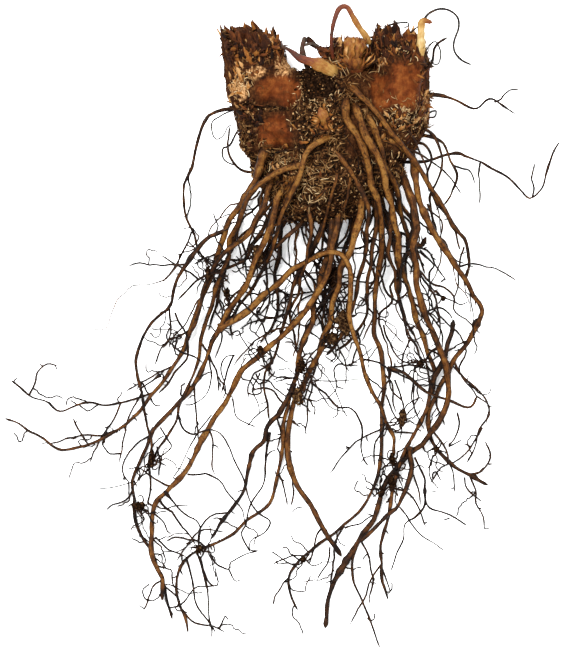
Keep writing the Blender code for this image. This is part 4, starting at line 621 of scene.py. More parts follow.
# The corners of an icosahedron's twenty faces
ICOSAHEDRON = np.array([
    (0, 4, 2), (0, 2, 5), (0, 8, 4), (0, 5, 10), (0, 10, 8), (1, 3, 6), (1, 7, 3), (1, 6, 8), (1, 10, 7),
    (1, 8, 10), (2, 4, 9), (2, 11, 5), (2, 9, 11), (3, 9, 6), (3, 7, 11), (3, 11, 9), (4, 8, 6), (4, 6, 9),
    (5, 7, 10), (5, 11, 7),
])


def eased(share):
    share = np.clip(share, 0, 1)
    return share * share * (3 - 2 * share)


def unit(vectors):
    return vectors / np.maximum(np.linalg.norm(vectors, axis=-1, keepdims=True), 1e-12)


def noise(points, size, seed=0, octaves=3):
    """Smooth random values, mostly from -1 to 1: the corner values of a cubic lattice of the given size, blended
    inside each cell by an eased share along each axis, summed over octaves of half the size and strength."""
    points = np.asarray(points, float)
    total = np.zeros(points.shape[:-1])
    for octave in range(octaves):
        place = points / size * 2 ** octave + 17.3 * (seed + octave + 1)
        cell = np.floor(place).astype(np.int64)
        share = eased(place - cell)
        value = np.zeros(points.shape[:-1])
        for corner in np.ndindex(2, 2, 2):
            weight = np.prod(np.where(corner, share, 1 - share), axis=-1)
            spot = cell + corner
            mixed = spot[..., 0] * 73856093 ^ spot[..., 1] * 19349663 ^ spot[..., 2] * 83492791 ^ seed * 2654435
            mixed = (mixed ^ mixed >> 13) * 1274126177 & 0x7FFFFFFF
            value += weight * ((mixed >> 7 & 0xFFFF) / 32767.5 - 1)
        total += value * 0.5 ** octave
    return total


def curve(route, step):
    """Points at even steps along a smooth curve: each stretch is the cubic through two points of the route whose
    slopes there are half the chord between their neighbours."""
    route = np.array(route, float)
    ends = np.vstack([2 * route[0] - route[1], route, 2 * route[-1] - route[-2]])
    a, b, c, d = (ends[k:len(route) - 1 + k, None] for k in range(4))
    t = (np.arange(8) / 8)[None, :, None]
    fine = 0.5 * (2 * b + (c - a) * t + (2 * a - 5 * b + 4 * c - d) * t ** 2 + (3 * b - a - 3 * c + d) * t ** 3)
    fine = np.vstack([fine.reshape(-1, route.shape[1]), route[-1]])
    run = run_of(fine)
    marks = np.linspace(0, run[-1], max(3, int(round(run[-1] / step)) + 1))
    return np.column_stack([np.interp(marks, run, fine[:, k]) for k in range(fine.shape[1])])


def run_of(points):
    """The length along a chain of points up to each of them."""
    steps = np.linalg.norm(np.diff(points, axis=-2), axis=-1)
    return np.concatenate([np.zeros(steps.shape[:-1] + (1,)), np.cumsum(steps, axis=-1)], axis=-1)


class Surface:
    """Points, faces and the values kept at the points, gathered from many shapes into one mesh."""

    def __init__(self):
        self.points, self.tones, self.grains, self.faces = [], [], [], []
        self.count = 0

    def add(self, points, faces, tone, grain=None):
        """Adds a shape: its points, its faces as rows of corners, a tone for each point and the coordinates
        that its grain is drawn on, which are the points themselves unless they are given."""
        points = np.asarray(points, float).reshape(-1, 3)
        self.points.append(points)
        self.tones.append(np.broadcast_to(np.asarray(tone, float).ravel(), (len(points),)))
        self.grains.append(points if grain is None else grain.reshape(-1, 3))
        self.faces += [np.asarray(rows, np.int64) + self.count for rows in faces]
        self.count += len(points)

    def mesh(self, name):
        points = np.concatenate(self.points)
        points[:, 2] = np.maximum(points[:, 2], LOWEST)
        made = bpy.data.meshes.new(name)
        corners = np.concatenate([rows.ravel() for rows in self.faces])
        sizes = np.concatenate([np.full(len(rows), rows.shape[1]) for rows in self.faces])
        made.vertices.add(len(points))
        made.vertices.foreach_set("co", points.astype(np.float32).ravel())
        made.loops.add(len(corners))
        made.loops.foreach_set("vertex_index", corners.astype(np.int32))
        made.polygons.add(len(sizes))
        made.polygons.foreach_set("loop_start", (np.cumsum(sizes) - sizes).astype(np.int32))
        made.polygons.foreach_set("use_smooth", np.ones(len(sizes), bool))
        made.update(calc_edges=True)
        keep(made, "tone", np.concatenate(self.tones))
        keep(made, "grain", np.concatenate(self.grains))
        return made

    def piece(self, name, skin, slot, nodes=()):
        return settle(name, self.mesh(name), skin, nodes)


def keep(mesh, name, values):
    """Keeps a number or a vector for each point of the mesh, for its material to read by name."""
    values = np.asarray(values, np.float32)
    kind, field = ("FLOAT", "value") if values.ndim == 1 else ("FLOAT_VECTOR", "vector")
    mesh.attributes.new(name, kind, "POINT").data.foreach_set(field, values.ravel())


def settle(name, mesh, skin, nodes=()):
    """Makes the finished piece of a mesh: it rides on the plant and stands for the CAD nodes that it covers."""
    piece = bpy.data.objects.new(name, mesh)
    bpy.context.scene.collection.objects.link(piece)
    mesh.materials.append(skin)
    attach(piece, "root")
    if nodes:
        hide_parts(*nodes)
    return piece


def grid_faces(count, rows, columns):
    """The faces of count grids, one after another, each closed into a tube across its columns and at its two
    ends, where a fan of triangles meets one more point. A grid holds its rows first and then its two ends."""
    n = np.arange(count)[:, None] * (rows * columns + 2)
    r, c = np.meshgrid(np.arange(rows - 1), np.arange(columns), indexing="ij")
    c, r = c.ravel(), r.ravel() * columns
    after = (c + 1) % columns
    sides = np.stack([n + r + c, n + r + columns + c, n + r + columns + after, n + r + after], -1)
    c = np.arange(columns)
    after = (c + 1) % columns
    last = (rows - 1) * columns
    start = np.stack([n + c, n + after, n + rows * columns + 0 * c], -1)
    end = np.stack([n + last + after, n + last + c, n + rows * columns + 1 + 0 * c], -1)
    return [sides.reshape(-1, 4), start.reshape(-1, 3), end.reshape(-1, 3)]


def sweep(surface, points, wide, thick, sides, tone, facing=None, cup=0.0, wrinkle=0.0, seed=0, tip=0.4):
    """Adds count closed tubes or blades, each carried along its own path of rows points.

    A point is middle + swell * (wide * cos(turn) * side + thick * sin(turn) * face) + cup * wide * cos(turn)^2
    * face, where side lies across the path, face is square to it, and swell is 1 plus ribs that run along the
    tube and knots that cross it.
    """
    points = np.asarray(points, float)
    count, rows = points.shape[:2]
    wide = np.broadcast_to(wide, (count, rows)).copy()
    thick = np.broadcast_to(thick, (count, rows)).copy()
    wide[:, -1] *= tip
    thick[:, -1] *= tip
    ahead = unit(np.gradient(points, axis=1))
    if facing is None:
        steep = np.abs(unit(ahead.mean(1))[:, 2:]) > 0.8
        facing = np.where(steep, (1.0, 0.0, 0.0), (0.0, 0.0, 1.0))
    side = unit(np.cross(ahead, np.asarray(facing)[:, None]))
    face = np.cross(side, ahead)
    run = run_of(points)
    turn = 2 * math.pi * np.arange(sides) / sides
    course = np.stack([run, seed + np.arange(count)[:, None] + 0 * run, 0 * run], -1)
    swell = np.ones((count, rows, sides))
    if wrinkle:
        drift = noise(course * (1, 0.013, 1), 9 * MM, seed, 1)[..., None]
        knots = noise(course * (1, 0.017, 1), 3 * MM, seed + 5, 2)[..., None]
        swell += wrinkle * (0.5 * np.sin(3 * turn + 2.5 * drift) + 0.35 * np.sin(5 * turn - 3.5 * drift) + knots)
    across = (np.cos(turn) * wide[..., None] * swell)[..., None] * side[:, :, None]
    raised = (np.sin(turn) * thick[..., None] * swell + cup * wide[..., None] * np.cos(turn) ** 2)[..., None]
    rings = points[:, :, None] + across + raised * face[:, :, None]
    start = points[:, :1] - ahead[:, :1] * thick[:, :1, None] * 0.3
    end = points[:, -1:] + ahead[:, -1:] * thick[:, -1:, None] * 0.8
    rings = np.concatenate([rings.reshape(count, -1, 3), start, end], 1)
    grain = np.stack([
        np.cos(turn) * wide[..., None], np.sin(turn) * wide[..., None] + 0.01 * course[..., 1:2],
        (run * GRAIN_STRETCH)[..., None] + 0 * turn], -1).reshape(count, -1, 3)
    grain = np.concatenate([grain, grain[:, :1], grain[:, -1:]], 1)
    tone = np.broadcast_to(np.asarray(tone, float), (count, rows))
    tones = np.concatenate([np.repeat(tone, sides, axis=1), tone[:, :1], tone[:, -1:]], 1)
    surface.add(rings, grid_faces(count, rows, sides), tones, grain)


def clod(surface, centre, half, rough, tone, seed, rows=20, columns=30):
    """Adds a rough ball. A point is centre + half * (1 + rough * noise) * (cos(rise), sin(rise) * cos(turn),
    sin(rise) * sin(turn)), and two more points close its ends."""
    rise = np.linspace(0.04, math.pi - 0.04, rows)[:, None]
    turn = 2 * math.pi * np.arange(columns) / columns
    ball = np.stack([-np.cos(rise) + 0 * turn, np.sin(rise) * np.cos(turn), np.sin(rise) * -np.sin(turn)], -1)
    ball = np.vstack([ball.reshape(-1, 3), (-1, 0, 0), (1, 0, 0)])
    place = np.asarray(centre) * MM + ball * np.asarray(half) * MM
    place += ball * np.asarray(half) * MM * rough * noise(place, 2.4 * MM, seed, 3)[:, None]
    place[:, 2] = np.maximum(place[:, 2], FLOOR_CLEARANCE)
    surface.add(place, grid_faces(1, rows, columns), tone)


def crumbs(surface, middles, size, tone, draw):
    """Adds a small uneven lump at each middle: an icosahedron whose corners are moved in and out at random."""
    gold = (1 + math.sqrt(5)) / 2
    corner = np.array([(0, s, t * gold) for s in (-1, 1) for t in (-1, 1)])
    shape = unit(np.concatenate([corner, corner[:, (2, 0, 1)], corner[:, (1, 2, 0)]]))
    count = len(middles)
    scale = draw.uniform(0.6, 1.3, (count, 12, 1)) * draw.uniform(0.6, 1.4, (count, 1, 3))
    lumps = middles[:, None] + shape * scale * np.asarray(size).reshape(-1, 1, 1)
    faces = ICOSAHEDRON[None] + 12 * np.arange(count)[:, None, None]
    surface.add(lumps, [faces.reshape(-1, 3)], np.repeat(tone, 12))


class Value:
    """A socket's value in a material, so that a sum such as 1 - mask adds its own Math node."""

    def __init__(self, finish, socket):
        self.finish, self.socket = finish, socket

    def sum(self, kind, *others):
        sockets = dict(enumerate(others))
        return self.finish.node("Math", sockets, {"operation": kind})

    def __add__(self, other):
        return self.sum("ADD", self, other)

    def __sub__(self, other):
        return self.sum("SUBTRACT", self, other)

    def __rsub__(self, other):
        return self.sum("SUBTRACT", other, self)

    def __mul__(self, other):
        return self.sum("MULTIPLY", self, other)

    def __pow__(self, other):
        return self.sum("POWER", self, other)

    def clipped(self):
        return self.finish.node("Clamp", {"Value": self})

    __radd__, __rmul__ = __add__, __mul__


class Finish:
    """A material in the making: one way to add a node, and short names for those that are used often."""

    def __init__(self, name, roughness=0.7, specular=0.4):
        self.material = bpy.data.materials.new(name)
        self.material.use_nodes = True
        self.tree = self.material.node_tree
        self.shader = self.tree.nodes["Principled BSDF"]
        self.shader.inputs["Roughness"].default_value = roughness
        self.shader.inputs["Specular IOR Level"].default_value = specular

    def node(self, kind, sockets=None, settings=None, out=0):
        """Adds a node of a kind, sets its settings, then sets or links its sockets, and gives one output."""
        made = self.tree.nodes.new("ShaderNode" + kind)
        for name, value in (settings or {}).items():
            if name == "stops":
                stops = made.color_ramp.elements
                for n, (place, colour) in enumerate(value):
                    stop = stops[n] if n < len(stops) else stops.new(place)
                    stop.position, stop.color = place, (*colour, 1)
            else:
                setattr(made, name, value)
        for name, value in (sockets or {}).items():
            self.set(made.inputs[name], value)
        return Value(self, made.outputs[out])

    def set(self, socket, value):
        """Links a value to a socket, or sets the socket to a number or colour."""
        if isinstance(value, Value):
            self.tree.links.new(value.socket, socket)
        elif socket.type == "RGBA":
            socket.default_value = (*value, 1)
        else:
            socket.default_value = value

    def kept(self, name):
        return self.node("Attribute", settings={"attribute_name": name}, out=2)

    def grain(self):
        return self.node("Attribute", settings={"attribute_name": "grain"}, out=1)

    def place(self):
        return self.node("TexCoord", out=3)

    def mottle(self, where, size, detail=4.0, sharp=0.6):
        """Cloudy noise from 0 to 1 with spots of about the given size in metres."""
        sockets = {"Vector": where, "Scale": 1 / size, "Detail": detail, "Roughness": sharp}
        return self.node("TexNoise", sockets)

    def step(self, value, low, high):
        """0 below low, 1 above high and a smooth rise between, or the other way round if low is above high."""
        sockets = {"Value": value, "From Min": low, "From Max": high}
        return self.node("MapRange", sockets, {"interpolation_type": "SMOOTHSTEP"})

    def ramp(self, share, *stops):
        return self.node("ValToRGB", {0: share}, {"stops": stops})

    def mix(self, share, low, high):
        return self.node("Mix", {0: share, 6: low, 7: high}, {"data_type": "RGBA"}, out=2)

    def finished(self, colour, roughness=None, height=None, depth=0.0002, strength=0.7):
        """Links the colour, roughness and relief to the shader."""
        self.set(self.shader.inputs["Base Color"], colour)
        if roughness is not None:
            self.set(self.shader.inputs["Roughness"], roughness)
        if height is not None:
            sockets = {"Height": height, "Distance": depth, "Strength": strength}
            self.set(self.shader.inputs["Normal"], self.node("Bump", sockets))
        return self.material


class Strand:
    """A root, branch, rootlet or shoot as a chain of points with a radius at each, in metres."""

    def __init__(self, node, points, radius, parent=None, place=0.0):
        self.node = node
        self.points = np.array(points, float)
        self.radius = np.array(radius, float)
        self.parent = parent
        self.place = place
        self.bed = self.radius + FLOOR_CLEARANCE

    def at(self, place):
        """The point at a place counted in points from the base, such as 2.5."""
        n = min(int(place), len(self.points) - 2)
        return self.points[n] + (place - n) * (self.points[n + 1] - self.points[n])

    def nearest_place(self, spot):
        """The place along the strand that is nearest to a spot seen from above."""
        start, step = self.points[:-1, :2], np.diff(self.points[:, :2], axis=0)
        share = np.clip(np.sum((spot[:2] - start) * step, axis=1) / np.sum(step ** 2, axis=1), 0, 1)
        away = np.linalg.norm(start + share[:, None] * step - spot[:2], axis=1)
        n = int(np.argmin(away))
        return n + share[n]


def root_strand(node, heights, radii, route):
    """A main root: it rises from its base to where it leaves the crown and then droops to the surface."""
    plan = curve(np.array(route) * MM, ROOT_STEP)
    run = run_of(plan)
    base, leaving, tip = np.array(heights) * MM
    droop = min(DROOP_LENGTH, run[-1] - EMERGE_LENGTH)
    height = base + (leaving - base) * eased(run / EMERGE_LENGTH)
    height += (tip - leaving) * eased((run - EMERGE_LENGTH) / droop)
    strand = Strand(node, np.column_stack([plan, height]), tapered(radii, run / run[-1]))
    if leaving >= FACE_HEIGHT:
        lie_on_face(strand, run, tip)
    return strand


def lie_on_face(strand, run, tip):
    """Brings a root out through the crown's face at its second point: from there it rests on the face, or
    hangs above it where it droops from the highest place that it has rested on."""
    face = []
    for n, (x, y) in enumerate(strand.points[1:, :2], 1):
        hits = [bed.ray_cast(Vector((x, y, 1.0)), Vector((0, 0, -1)))[0] for bed in crown_beds()]
        tops = [hit.z for hit in hits if hit]
        if tops:
            strand.bed[n] = max(tops) + BEDDING * strand.radius[n]
            face.append(n)
    crest = max(face, key=lambda n: strand.bed[n])
    top = strand.bed[crest] + BED_GAP
    droop = min(DROOP_LENGTH, run[-1] - run[crest])
    hanging = top + (tip - top) * eased((run - run[crest]) / droop)
    strand.points[1:, 2] = np.maximum(hanging, strand.bed + BED_GAP)[1:]


def tapered(radii, share):
    """Radii along a root or branch in metres, from those at its base and its tip in mm."""
    base, tip = radii
    return (tip + (base - tip) * (1 - share) ** TAPER) * MM


def branch_strand(parent, tip_height, radii, route, hump=0.0):
    """A branch: it leaves its parent's axis and droops to its tip's height, or humps up over others."""
    plan = curve(np.array(route) * MM, ROOT_STEP)
    place = parent.nearest_place(plan[0])
    foot = parent.at(place)
    share = np.linspace(0, 1, len(plan))
    height = foot[2] + (tip_height * MM - foot[2]) * eased(share * 1.6)
    height += hump * MM * np.sin(np.pi * share) ** 2
    points = np.column_stack([plan, height])
    points[0] = foot
    return Strand(parent.node, points, tapered(radii, share), parent, place)


def nearest_on_pairs(a0, a1, b0, b1):
    """For pairs of segments, the shares along each at which they come nearest to each other."""
    u, v, w = a1 - a0, b1 - b0, a0 - b0
    uu, vv, uv = (u * u).sum(1), (v * v).sum(1), (u * v).sum(1)
    uw, vw = (u * w).sum(1), (v * w).sum(1)
    spread = uu * vv - uv * uv
    s = np.where(spread > 1e-18, (uv * vw - vv * uw) / np.maximum(spread, 1e-18), 0.5)
    s = np.clip(s, 0, 1)
    t = np.clip((uv * s + vw) / vv, 0, 1)
    s = np.clip((uv * t - uw) / uu, 0, 1)
    return s, t


class Tangle:
    """All strands together, for pushing apart those of different pieces where they cross or lie side by side."""

    def __init__(self, strands, held):
        self.strands = strands
        sizes = [len(s.points) for s in strands]
        self.start = np.append(0, np.cumsum(sizes))
        self.points = np.vstack([s.points for s in strands])
        self.home = self.points.copy()
        self.radius = np.concatenate([s.radius for s in strands])
        self.bed = np.concatenate([s.bed for s in strands])
        self.owner = np.repeat(np.arange(len(strands)), sizes)
        nodes = np.array([name_number(s.node) for s in strands])
        inner = np.ones(len(self.points), bool)
        inner[self.start[1:] - 1] = False
        self.first = np.flatnonzero(inner)
        self.node = nodes[self.owner[self.first]]
        self.loose = np.array([s not in held for s in strands])[self.owner]

    def pairs(self):
        """Pairs of near segments of different pieces, with at least one that is free to move."""
        a, b = self.points[self.first], self.points[self.first + 1]
        middle = (a + b) / 2
        half = np.linalg.norm(b - a, axis=1) / 2 + self.radius[self.first] + SEARCH_MARGIN
        i, j = [], []
        for n in range(len(self.first) - 1):
            rest = slice(n + 1, None)
            near = np.linalg.norm(middle[rest] - middle[n], axis=1) < half[rest] + half[n]
            near &= self.node[rest] != self.node[n]
            near &= self.loose[self.first[rest]] | self.loose[self.first[n]]
            found = np.flatnonzero(near) + n + 1
            i.append(np.full(len(found), n))
            j.append(found)
        return self.first[np.concatenate(i)], self.first[np.concatenate(j)]

    def shortfall(self, i, j):
        """How far each pair is from its clearance, its two shares, and the way from second to first."""
        p = self.points
        s, t = nearest_on_pairs(p[i], p[i + 1], p[j], p[j + 1])
        away = p[i] + s[:, None] * (p[i + 1] - p[i]) - p[j] - t[:, None] * (p[j + 1] - p[j])
        gap = np.linalg.norm(away, axis=1)
        away[gap < 1e-7] = (0, 0, 1e-7)
        away /= np.maximum(gap, 1e-7)[:, None]
        need = self.radius[i] + s * (self.radius[i + 1] - self.radius[i])
        need = need + self.radius[j] + t * (self.radius[j + 1] - self.radius[j]) + CLEARANCE
        return need - gap, s, t, away

    def push(self, i, j, strength):
        """Moves the points of pairs that are too near apart, each piece by half."""
        short, s, t, away = self.shortfall(i, j)
        close = short > 0
        i, j, s, t, away = i[close], j[close], s[close], t[close], away[close]
        both = self.loose[i] & self.loose[j]
        step = away * (short[close] * np.where(both, 0.5, 1.0) * strength)[:, None]
        move = np.zeros_like(self.points)
        times = np.zeros(len(self.points))
        for ends, share, sign in ((i, 1 - s, 1), (i + 1, s, 1), (j, 1 - t, -1), (j + 1, t, -1)):
            weight = share / np.maximum(share ** 2 + (1 - share) ** 2, 0.5)
            np.add.at(move, ends, sign * step * weight[:, None])
            np.add.at(times, ends, share)
        move /= np.maximum(times, 1)[:, None]
        move[~self.loose] = 0
        self.points += move

    def crowded(self):
        """The strands that are left nearer to another piece than the gap that is kept."""
        i, j = self.pairs()
        near = self.shortfall(i, j)[0] > CLEARANCE - GAP_KEPT
        return {self.strands[n] for n in np.concatenate([self.owner[i[near]], self.owner[j[near]]])}

    def settle(self, rounds, stiffness):
        """Pushes and smooths by turns, and ends with pushes alone."""
        for turn in range(rounds):
            if turn % ROUNDS_BETWEEN_SEARCHES == 0:
                i, j = self.pairs()
            last = turn > rounds * LAST_ROUNDS
            self.push(i, j, LAST_PUSH if last else FIRST_PUSH)
            if not last:
                self.smooth(stiffness)
            stray = self.points[:, :2] - self.home[:, :2]
            reach = np.linalg.norm(stray, axis=1)
            over = reach > STRAY_LIMIT
            stray[over] *= (STRAY_LIMIT / reach[over])[:, None]
            self.points[over, :2] = self.home[over, :2] + stray[over]
            self.points[self.loose, 2] = np.maximum(self.points[:, 2], self.bed)[self.loose]
            self.share_out()
            for strand in self.strands:
                if strand.parent is not None:
                    strand.points[0] = strand.parent.at(strand.place)
            self.points = np.vstack([s.points for s in self.strands])

    def smooth(self, stiffness):
        """Evens out each point's push with those of its neighbours, and draws it back to its route."""
        moved = self.points - self.home
        bend = -moved * HOME_PULL
        for first, after in zip(self.start[:-1], self.start[1:]):
            own = moved[first:after]
            bend[first + 1:after - 1] += (own[:-2] + own[2:]) / 2 - own[1:-1]
        self.points[self.loose] += stiffness * bend[self.loose]

    def share_out(self):
        for n, strand in enumerate(self.strands):
            strand.points = self.points[self.start[n]:self.start[n + 1]].copy()


def name_number(name):
    """A number for a piece's name that is the same in each run."""
    return sum(ord(letter) * 31 ** k for k, letter in enumerate(name)) % 1000000007


def grow_rootlets(mains):
    """Rootlets at even steps along each root with a seeded scatter, where their first stretch is free."""
    draw = np.random.default_rng(ROOTLET_SEED)
    blocks = Tangle(mains, mains)
    a, b = blocks.points[blocks.first], blocks.points[blocks.first + 1]
    grown = []
    for strand in mains:
        run = run_of(strand.points)
        bare = 0.0 if strand.parent is not None else BARE_SHARE
        count = int(run[-1] * (1 - bare) * ROOTLET_COUNT_PER_METRE)
        side = 1 if draw.random() < 0.5 else -1
        for n in range(count):
            share = bare + (1 - bare) * (n + draw.uniform(0.2, 0.8)) / count
            place = float(np.interp(share * run[-1], run, np.arange(len(run))))
            length = draw.uniform(*ROOTLET_LENGTH)
            turns = draw.normal(0, 0.38, ROOTLET_STEPS)
            lean = draw.uniform(0.6, 1.25)
            side = -side
            foot = strand.at(place)
            ahead = strand.at(min(place + 0.5, len(run) - 1)) - strand.at(max(place - 0.5, 0))
            for way in (side, -side):
                course = math.atan2(ahead[1], ahead[0]) + way * lean
                points = [foot]
                for turn in turns:
                    course += turn
                    course -= 0.25 * math.sin(course + math.pi / 2)
                    step = length / ROOTLET_STEPS
                    ahead_step = np.array([math.cos(course), math.sin(course), 0]) * step
                    points.append(points[-1] + ahead_step)
                points = np.array(points)
                points[:, 2] = foot[2] + (0.8 * MM - foot[2]) * eased(np.linspace(0, 1.2, len(points)))
                if rootlet_is_free(points, strand.node, blocks, a, b):
                    radius = np.minimum(np.linspace(*ROOTLET_RADIUS, len(points)), strand.radius[-1])
                    grown.append(Strand(strand.node, points, radius, strand, place))
                    break
    return grown


def rootlet_is_free(points, node, blocks, a, b):
    """True where a rootlet keeps within the roots' spread and starts clear of the crown and other roots."""
    x, y = points[:, 0] / MM, points[:, 1] / MM
    under_crown = (y > -25) & (x > -33) & (x < 34)
    too_far = (x < SPREAD[0]) | (x > SPREAD[1]) | (y < SPREAD[2])
    if np.any(under_crown | too_far):
        return False
    other = blocks.node != name_number(node)
    count = int(other.sum())
    s, t = nearest_on_pairs(
        np.repeat(points[:1], count, 0), np.repeat(points[1:2], count, 0), a[other], b[other])
    here = points[0] + s[:, None] * (points[1] - points[0])
    there = a[other] + t[:, None] * (b[other] - a[other])
    apart = np.linalg.norm(here - there, axis=1)
    return bool(np.all(apart > blocks.radius[blocks.first][other] + ROOTLET_START_GAP))


@functools.cache
def crown_beds():
    """The crown's shells, for casting rays on them."""
    return [BVHTree.FromPolygons([Vector(p) for p in points], faces) for points, faces in crown_shells(1)]


def face_height(x, y):
    """The height of the crown's face or its peat at a spot seen from above, and 0 beside them."""
    hits = [bed.ray_cast(Vector((x, y, 1.0)), Vector((0, 0, -1)))[0] for bed in crown_beds()]
    tops = [hit.z for hit in hits if hit]
    for middle, half in PEAT.values():
        away = math.hypot((x / MM - middle[0]) / half[0], (y / MM - middle[1]) / half[1])
        if away < 1:
            tops.append((middle[2] + half[2] * math.sqrt(1 - away ** 2)) * MM)
    return max(tops, default=0.0)


@functools.cache
def strands():
    """Every shoot, root and rootlet of the plant, pushed clear of each other, as the solids have them."""
    shoots = []
    for name, (route, branches) in SHOOTS.items():
        for course in [route] + branches:
            stem = curve(np.array(course) * MM, SHOOT_STEP)
            shoots.append(Strand(name, stem[:, :3], stem[:, 3]))
    mains = []
    for n, (heights, radii, route, branches) in enumerate(ROOTS):
        main = root_strand(f"root_{n + 1:02d}", heights, radii, route)
        mains.append(main)
        mains += [branch_strand(main, *branch) for branch in branches]
    Tangle(shoots + mains, shoots).settle(MAIN_ROUNDS, MAIN_STIFFNESS)
    rootlets = grow_rootlets(mains)
    tangle = Tangle(shoots + mains + rootlets, shoots + mains)
    tangle.settle(ROOTLET_ROUNDS, ROOTLET_STIFFNESS)
    crowded = tangle.crowded()
    return shoots, mains, [strand for strand in rootlets if strand not in crowded]


def bark_relief(angle, along, phase):
    """Relief of a knob or the body as a share of its radius: long ribs, crossed by the rings of old leaves."""
    ribs = np.sin(3 * angle + phase) + 0.8 * np.sin(5 * angle - 2.0 * phase + 1.3 * along)
    rings = 0.8 * np.sin(2.4 * along + phase) + 0.6 * np.sin(7 * angle + 2.9 * along)
    return RIDGE_HEIGHT * (ribs + rings) / 1.6


def between(sections, finer):
    """A stack of sections with finer ones between, and the number of each counted in the first ones."""
    sections = np.array(sections, float)
    marks = np.linspace(0, len(sections) - 1, (len(sections) - 1) * finer + 1)
    ends = np.vstack([2 * sections[0] - sections[1], sections, 2 * sections[-1] - sections[-2]])
    n = np.minimum(marks.astype(int), len(sections) - 2)
    t = (marks - n)[:, None]
    a, b, c, d = (ends[n + k] for k in range(4))
    fine = 0.5 * (2 * b + (c - a) * t + (2 * a - 5 * b + 4 * c - d) * t ** 2 + (3 * b - a - 3 * c + d) * t ** 3)
    return fine, marks


def body_shell(finer):
    """The crown's broad lower part. A point is (x + width * swell * cos(turn), y, height - depth * swell *
    sin(turn)), with the middle, width and depth of its ring, and swell is 1 plus the bark's relief."""
    fine, marks = between(BODY_SECTIONS, finer)
    sides = BODY_SIDES * finer
    turn = 2 * math.pi * np.arange(sides) / sides
    y, x, wide, deep = (fine[:, k, None] for k in range(4))
    swell = 1 + bark_relief(turn, marks[:, None], 0.4)
    points = np.stack([
        (x + wide * swell * np.cos(turn)) * MM, y * MM + 0 * turn,
        REST_HEIGHT - deep * swell * np.sin(turn) * MM], -1)
    return points.reshape(-1, 3), shell_faces(len(fine), sides)


def slanted(name, points):
    """Moves points near a knob's rim along Y, so that the rim is torn off at a slant."""
    top = np.array(KNOBS[name][-1][:3]) * MM
    share = eased((points[..., 1] - top[1]) / RIM_BLEND + 1)
    left, front = RIM_SLANT[name]
    shift = share * (left * (top[0] - points[..., 0]) + front * (points[..., 2] - top[2]))
    return points + np.stack([0 * shift, shift, 0 * shift], -1)


def knob_axes(name):
    """The direction of a knob's axis at its rim, and two directions across it."""
    top, below = np.array(KNOBS[name][-1][:3]), np.array(KNOBS[name][-2][:3])
    axis = unit(top - below)
    across = unit(np.cross(axis, (0, 0, 1)))
    return axis, across, np.cross(across, axis)


def knob_shell(name, phase, finer):
    """One old stem base. A point is middle + radius * swell * (cos(turn) * across + sin(turn) * up), carried up
    the knob's axis, over its wavy rim and down into the rotted crater."""
    fine, marks = between(KNOBS[name], finer)
    middle, radius = fine[:, :3] * MM, fine[:, 3] * MM
    axis, _, _ = knob_axes(name)
    ahead = np.gradient(middle, axis=0)
    steps = 2 * finer
    down = np.arange(1, steps + 1) / steps
    rim = len(KNOBS[name]) - 1
    inner = np.interp(down, (0, 0.5, 1), (1, CRATER_RIM, CRATER_RIM * 0.6))
    middle = np.vstack([middle, middle[-1] - CRATER_DEPTH * eased(2 * down - 1)[:, None] * axis])
    radius = np.append(radius, radius[-1] * inner)
    ahead = np.vstack([ahead, np.repeat(axis[None], steps, 0)])
    marks = np.append(marks, rim + 2 * down)
    across = unit(np.cross(ahead, (0, 0, 1)))
    up = np.cross(across, unit(ahead))
    sides = KNOB_SIDES * finer
    turn = 2 * math.pi * np.arange(sides) / sides
    swell = 1 + bark_relief(turn, marks[:, None], phase)
    wave = (1.1 * np.sin(3 * turn + phase) + 0.7 * np.sin(5 * turn)) * MM * eased(marks[:, None] - rim + 1)
    ring = np.cos(turn)[:, None] * across[:, None] + np.sin(turn)[:, None] * up[:, None]
    points = middle[:, None] + (radius[:, None] * swell)[..., None] * ring + wave[..., None] * axis
    return slanted(name, points).reshape(-1, 3), shell_faces(len(middle), sides)


def shell_faces(rings, sides):
    """Side faces of a stack of closed rings, with a cap at each end."""
    r, k = np.meshgrid(np.arange(rings - 1) * sides, np.arange(sides), indexing="ij")
    after = (k + 1) % sides
    quads = np.stack([r + k, r + after, r + sides + after, r + sides + k], -1).reshape(-1, 4)
    return quads.tolist() + [list(range(sides))[::-1], list(range((rings - 1) * sides, rings * sides))]


def crown_shells(finer):
    """The closed shells of the body and the three knobs, with finer rings and sides than the solids have."""
    knobs = [knob_shell(name, 1.7 * n, finer) for n, name in enumerate(KNOBS)]
    return [body_shell(finer)] + knobs


def spots(points, places, seed):
    """1 inside any of some spots seen from above and 0 outside, with uneven edges. A place gives the middle and
    the half sizes in mm; the edge lies where the distance in half sizes, plus noise, passes 1."""
    share = np.zeros(len(points))
    for n, ((x, y), (half_x, half_y)) in enumerate(places):
        away = np.hypot(points[:, 0] / MM - x, (points[:, 1] / MM - y) * half_x / half_y) / half_x
        away += 0.30 * noise(points, 3.4 * MM, seed + n, 4)
        share = np.maximum(share, eased((1.45 - away) / 0.9))
    return share


def front_share(points):
    """1 on the side of the crown that faces up, 0 on its back, with a smooth change at the sides."""
    return eased((points[:, 2] - 9 * MM) / (6 * MM))


